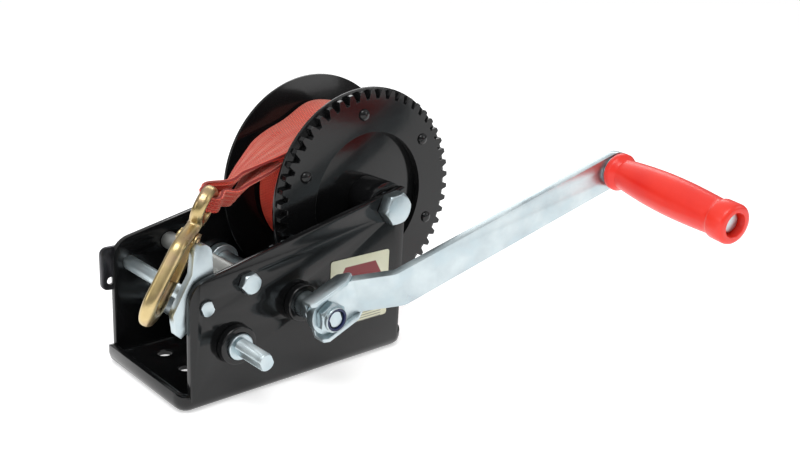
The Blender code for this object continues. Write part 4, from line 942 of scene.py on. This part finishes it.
nose = [bar_section(line, 0, share=s, push=p * MM) for s, p in ((0.35, 2.6), (0.7, 2.0), (0.9, 1.0))]
hook = piece("forged_hook", skinned(nose + [bar_section(line, k) for k in range(len(line))]))
eye = [(EYE_HOLE, -0.45 * EYE_HALF), (EYE_HOLE + 1.2 * MM, -EYE_HALF), (EYE_OUTER - 1.6 * MM, -EYE_HALF),
       (EYE_OUTER, -0.5 * EYE_HALF), (EYE_OUTER, 0.5 * EYE_HALF), (EYE_OUTER - 1.6 * MM, EYE_HALF),
       (EYE_HOLE + 1.2 * MM, EYE_HALF), (EYE_HOLE, 0.45 * EYE_HALF)]
combine(hook, turned(eye, ORIGIN, 64), "UNION")
pivot = hook_place.inverted() @ Vector(joints["latch_press"]["pos_m"])
lug = [(0, -1.5 * MM), (4.2 * MM, -1.5 * MM), (4.2 * MM, 1.5 * MM), (0, 1.5 * MM)]
combine(hook, turned(lug, pivot, 40), "UNION")
grid = hook.modifiers.new("forge", "REMESH")
grid.mode, grid.voxel_size = "VOXEL", 0.55 * MM
relax = hook.modifiers.new("relax", "SMOOTH")
relax.factor, relax.iterations = 0.5, 7
baked(hook)
rivet_hole = [(0, -0.01), (2.3 * MM, -0.01), (2.3 * MM, 0.01), (0, 0.01)]
combine(hook, turned(rivet_hole, pivot, 32))
hook.data.transform(hook_place)
stand_in("hook_body", softened(hook, 0))
print("hook", len(hook.data.polygons), "faces, pivot", [round(c / MM, 2) for c in pivot])


# %% Round-wire springs
def coiled(center, mean, wire, low_y, high_y, turns):
    steps = int(turns * 40)
    sections = []
    for k in range(steps + 1):
        turn = 2 * pi * turns * k / steps
        y = low_y + wire / 2 + (high_y - low_y - wire) * k / steps
        sections.append([(center.x + (mean + wire / 2 * cos(s)) * cos(turn), y + wire / 2 * sin(s),
                          center.z + (mean + wire / 2 * cos(s)) * sin(turn))
                         for s in [2 * pi * j / 12 for j in range(12)]])
    return skinned(sections)


low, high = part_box("pawl_spring")
spring = coiled(rod_axis, 6.3 * MM, 1.4 * MM, low.y, high.y, 5)
stand_in("pawl_spring", softened(piece("pawl_coil", spring), 0))
spring = coiled(pivot, 2.8 * MM, 0.7 * MM, 1.8 * MM, 4.5 * MM, 2.5)
stand_in("latch_spring", softened(piece("latch_coil", spring, hook_place), 0))

# %% [markdown]
# ## Strap
# The strap is fifty millimetre webbing.  On the drum it lies in a spiral, turn on turn, and its
# edges show as fine rings.  The free end leaves the top of the coil, gathers as it nears the hook,
# passes through the eye and comes back below itself; the stitches are left out.  Webbing doesn't
# shrink when it narrows, so where the band is narrow its cross-section folds into pleats.

# %% Ribbon tool
STRAP_WIDE, STRAP_THICK = 50 * MM, 2.2 * MM
strap_low, strap_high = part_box("strap_coil")
STRAP_MID = (strap_low.y + strap_high.y) / 2


def ribbon(name, rings, widths, lengths):
    """Closed band; each ring runs over the top and back underneath.  UV is metres of cloth."""
    bm = skinned(rings)
    bm.verts.ensure_lookup_table()
    count = len(rings[0])
    index = {v: divmod(i, count) for i, v in enumerate(bm.verts)}
    cloth = bm.loops.layers.uv.new("cloth")
    for face in bm.faces:
        for corner in face.loops:
            row, column = index[corner.vert]
            corner[cloth].uv = (widths[column], lengths[row])
    return piece(name, bm)


def band_profile(columns):
    """(place across -1..1, side of the thickness -1..1) round a band; its edges are rounded where the rings are
    built.
    """
    top = [(-1 + 2 * j / (columns - 1), 1.0) for j in range(columns)]
    return top + [(u, -1.0) for u, _ in reversed(top)]


# %% Wound coil
core = 21.3 * MM
coil_outer = (strap_high.x - strap_low.x) / 2
layer = STRAP_THICK + 0.12 * MM
turns = (coil_outer - core) / layer - 1
steps = int(turns * 72)
LIFT_OFF = 48
profile = band_profile(9)
rings, lengths, run = [], [], 0.0
for k in range(steps + 1):
    angle = radians(LIFT_OFF) - 2 * pi * turns * k / steps
    radius = coil_outer - STRAP_THICK / 2 - (coil_outer - core - STRAP_THICK) * k / steps
    wander = 0.35 * MM * noise.noise(Vector((k * 0.011, 3.1, 0)))
    ring = []
    for u, side in profile:
        y = STRAP_MID + u * (STRAP_WIDE / 2 - 0.5 * MM) + wander
        r = radius + side * STRAP_THICK / 2 * (1 - 0.35 * abs(u) ** 8)
        ring.append((drum_axis.x + r * cos(angle), y, drum_axis.z + r * sin(angle)))
    rings.append(ring)
    lengths.append(run)
    run += 2 * pi * turns / steps * radius
coil = ribbon("strap_winding", rings, [(u + 1) * STRAP_WIDE / 2 for u, _ in profile], lengths)
stand_in("strap_coil", softened(coil, 0))
# The coil takes the shaded copy of the webbing: painted shade, not a different cloth.
coil.data.materials[0] = SHADED_WEBBING
print("wound strap", round(run, 3), "m in", round(turns, 1), "turns")


# %% Free strap
def through(stations, steps):
    """Catmull-Rom line through the stations."""
    points, last = [], len(stations) - 1
    for k in range(last):
        a, b, c, d = (stations[min(max(k + i, 0), last)] for i in (-1, 0, 1, 2))
        for j in range(steps):
            t = j / steps
            points.append(tuple(
                0.5 * (2 * q + (r - p) * t + (2 * p - 5 * q + 4 * r - s) * t * t
                       + (3 * q - p - 3 * r + s) * t ** 3) for p, q, r, s in zip(a, b, c, d)))
    return points + [stations[-1]]


FRONT = -87.5 * MM
STRAP_PULL = radians(43)
flat = Vector((0, 1, 0))
half = STRAP_WIDE / 2
loop_place = hook_place @ Matrix.Rotation(STRAP_PULL, 4, "Y")
pull = loop_place.to_3x3() @ Vector((1, 0, 0))


def on_drum(angle, radius):
    return drum_axis + Vector((radius * cos(radians(angle)), STRAP_MID, radius * sin(radians(angle))))


def free(back, side, height):
    return Vector((FRONT + back * MM, side * MM, height * MM))


def in_eye(y, z):
    return loop_place @ Vector((0, y, z))


hole = EYE_HOLE - GAP - STRAP_THICK / 2
beside = EYE_HALF + GAP + STRAP_THICK / 2 + 0.4 * MM
start = coil_outer + GAP + STRAP_THICK / 2
stations = [
    (on_drum(LIFT_OFF, start + 0.2 * MM), flat, 1, 0), (on_drum(64, start + 2 * MM), flat, 1, 0),
    (on_drum(80, start + 4.2 * MM), flat, 1, 0), (on_drum(100, start + 4.8 * MM), flat, 1, 0),
    (free(129, 7.65, 160.5), flat, 1, 0), (free(112, 6.5, 154.5), flat, 0.92, 0),
    (free(94, 1.5, 148.5), flat, 0.74, 0), (free(77, -3, 142), flat.lerp(pull, 0.15), 0.54, 0),
    (free(63, -8, 136.8), flat.lerp(pull, 0.4), 0.40, 0),
    (free(51, -14.5, 132.5), flat.lerp(pull, 0.75), 0.30, 0),
    (in_eye(beside, 16.5 * MM), pull, 0.26, 0), (in_eye(beside, 11 * MM), pull, 0.24, 0.2),
    (in_eye(beside - 1.3 * MM, hole + 1 * MM), pull, 0.22, 0.8), (in_eye(0, hole), pull, 0.215, 1),
    (in_eye(1.3 * MM - beside, hole + 1 * MM), pull, 0.22, 0.8),
    (in_eye(-beside, 11 * MM), pull, 0.24, 0.2), (in_eye(-beside, 16.5 * MM), pull, 0.26, 0),
    (free(53, -18.5, 126.2), flat.lerp(pull, 0.75), 0.30, 0),
    (free(65, -12, 130), flat.lerp(pull, 0.4), 0.40, 0),
    (free(78, -6, 135.2), flat.lerp(pull, 0.15), 0.52, 0),
    (free(90, -1, 140.8), flat, 0.62, 0)]
path = through([(*centre, *cross, wide * half, cup) for centre, cross, wide, cup in stations], 8)
profile = band_profile(33)
rings, lengths, run = [], [], 0.0
for k, station in enumerate(path):
    centre = Vector(station[:3])
    ahead, behind = Vector(path[min(k + 1, len(path) - 1)][:3]), Vector(path[max(k - 1, 0)][:3])
    forward = (ahead - behind).normalized()
    cross = Vector(station[3:6])
    cross = (cross - cross.dot(forward) * forward).normalized()
    over = cross.cross(forward)
    wide, cup = station[6], station[7]
    pleat = 0.85 * MM * max(0.0, 1 - wide / half) ** 0.5
    ring = []
    for u, side in profile:
        sag = cup * hole * (1 - cos(min(1.2, abs(u) * wide / hole)))
        fold = pleat * sin(4.2 * pi * u + 0.6)
        body = STRAP_THICK / 2 * (1 - 0.35 * abs(u) ** 10)
        ring.append(centre + cross * u * wide + over * (sag + side * body + fold))
    rings.append(ring)
    lengths.append(run)
    run += (ahead - centre).length
strap = ribbon("strap_free", rings, [(u + 1) * half for u, _ in profile], lengths)
stand_in("strap_run", softened(strap, 0))
print("free strap", round(run, 3), "m")

# %% [markdown]
# ## Label
# A small paper label is stuck to the side plate.  It is generic: a dark red device over a few grey
# rules, on cream card that has yellowed a little.

# %% Label
def label_paper():
    mat, tree, shader = new_material("label_paper", 0.42)
    low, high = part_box("label")
    place = node(tree, "ShaderNodeTexCoord")
    split = node(tree, "ShaderNodeSeparateXYZ")
    link(tree, place.outputs["Object"], split.inputs[0])
    x = ramp(tree, split.outputs["X"], low.x, high.x)
    z = ramp(tree, split.outputs["Z"], low.z, high.z)
    off = math_node(tree, "ABSOLUTE", math_node(tree, "SUBTRACT", x, 0.5))
    tall = math_node(tree, "ABSOLUTE", math_node(tree, "SUBTRACT", z, 0.63))
    taper = math_node(tree, "ADD", off, math_node(tree, "MULTIPLY", tall, 0.55))
    device = math_node(tree, "MULTIPLY", ramp(tree, taper, 0.40, 0.39), ramp(tree, tall, 0.25, 0.24))
    rules = math_node(tree, "FRACT", math_node(tree, "MULTIPLY", z, 26.0))
    block = math_node(tree, "MULTIPLY", ramp(tree, z, 0.27, 0.26), ramp(tree, off, 0.40, 0.39))
    ruled = math_node(tree, "MULTIPLY", ramp(tree, rules, 0.34, 0.30), block)
    skin = use_group(tree, GRAIN, Fine=1500.0, Slow=90.0)
    aged = ramp(tree, skin.outputs["Drift"], 0.3, 0.7)
    card = mix_colors(tree, aged, (0.60, 0.60, 0.42), (0.68, 0.68, 0.52))
    lined = mix_colors(tree, ruled, card, (0.24, 0.24, 0.20))
    link(tree, mix_colors(tree, device, lined, (0.20, 0.015, 0.02)), shader.inputs["Base Color"])
    bump(tree, shader, skin.outputs["Height"], 0.1, 0.0001)
    return mat


FINISH["label_paper"] = label_paper()

# %% [markdown]
# ## Everything else
# The remaining pieces have the right outline already.  Each is copied, its triangles are merged
# back into whole faces, and its edges are broken with a small radius, since a perfectly sharp edge
# never catches light and looks drawn rather than made.

# %% Broken edges on the rest
EDGE = {"frame": 0.55, "pawl": 0.6, "crank_bracket": 0.5, "hook_latch": 0.25, "label": 0.0,
        "side_tab": 0.4}
USUAL_EDGE = 0.2
for name, source in sorted(nodes.items()):
    if name in made:
        continue
    bm = bmesh.new()
    bm.from_mesh(source.data)
    bmesh.ops.remove_doubles(bm, verts=bm.verts, dist=0.005 * MM)
    bmesh.ops.dissolve_limit(bm, angle_limit=radians(1), verts=bm.verts, edges=bm.edges)
    copy = softened(piece(name + "_made", bm), EDGE.get(name, USUAL_EDGE) * MM, 2, 38)
    stand_in(name, copy)
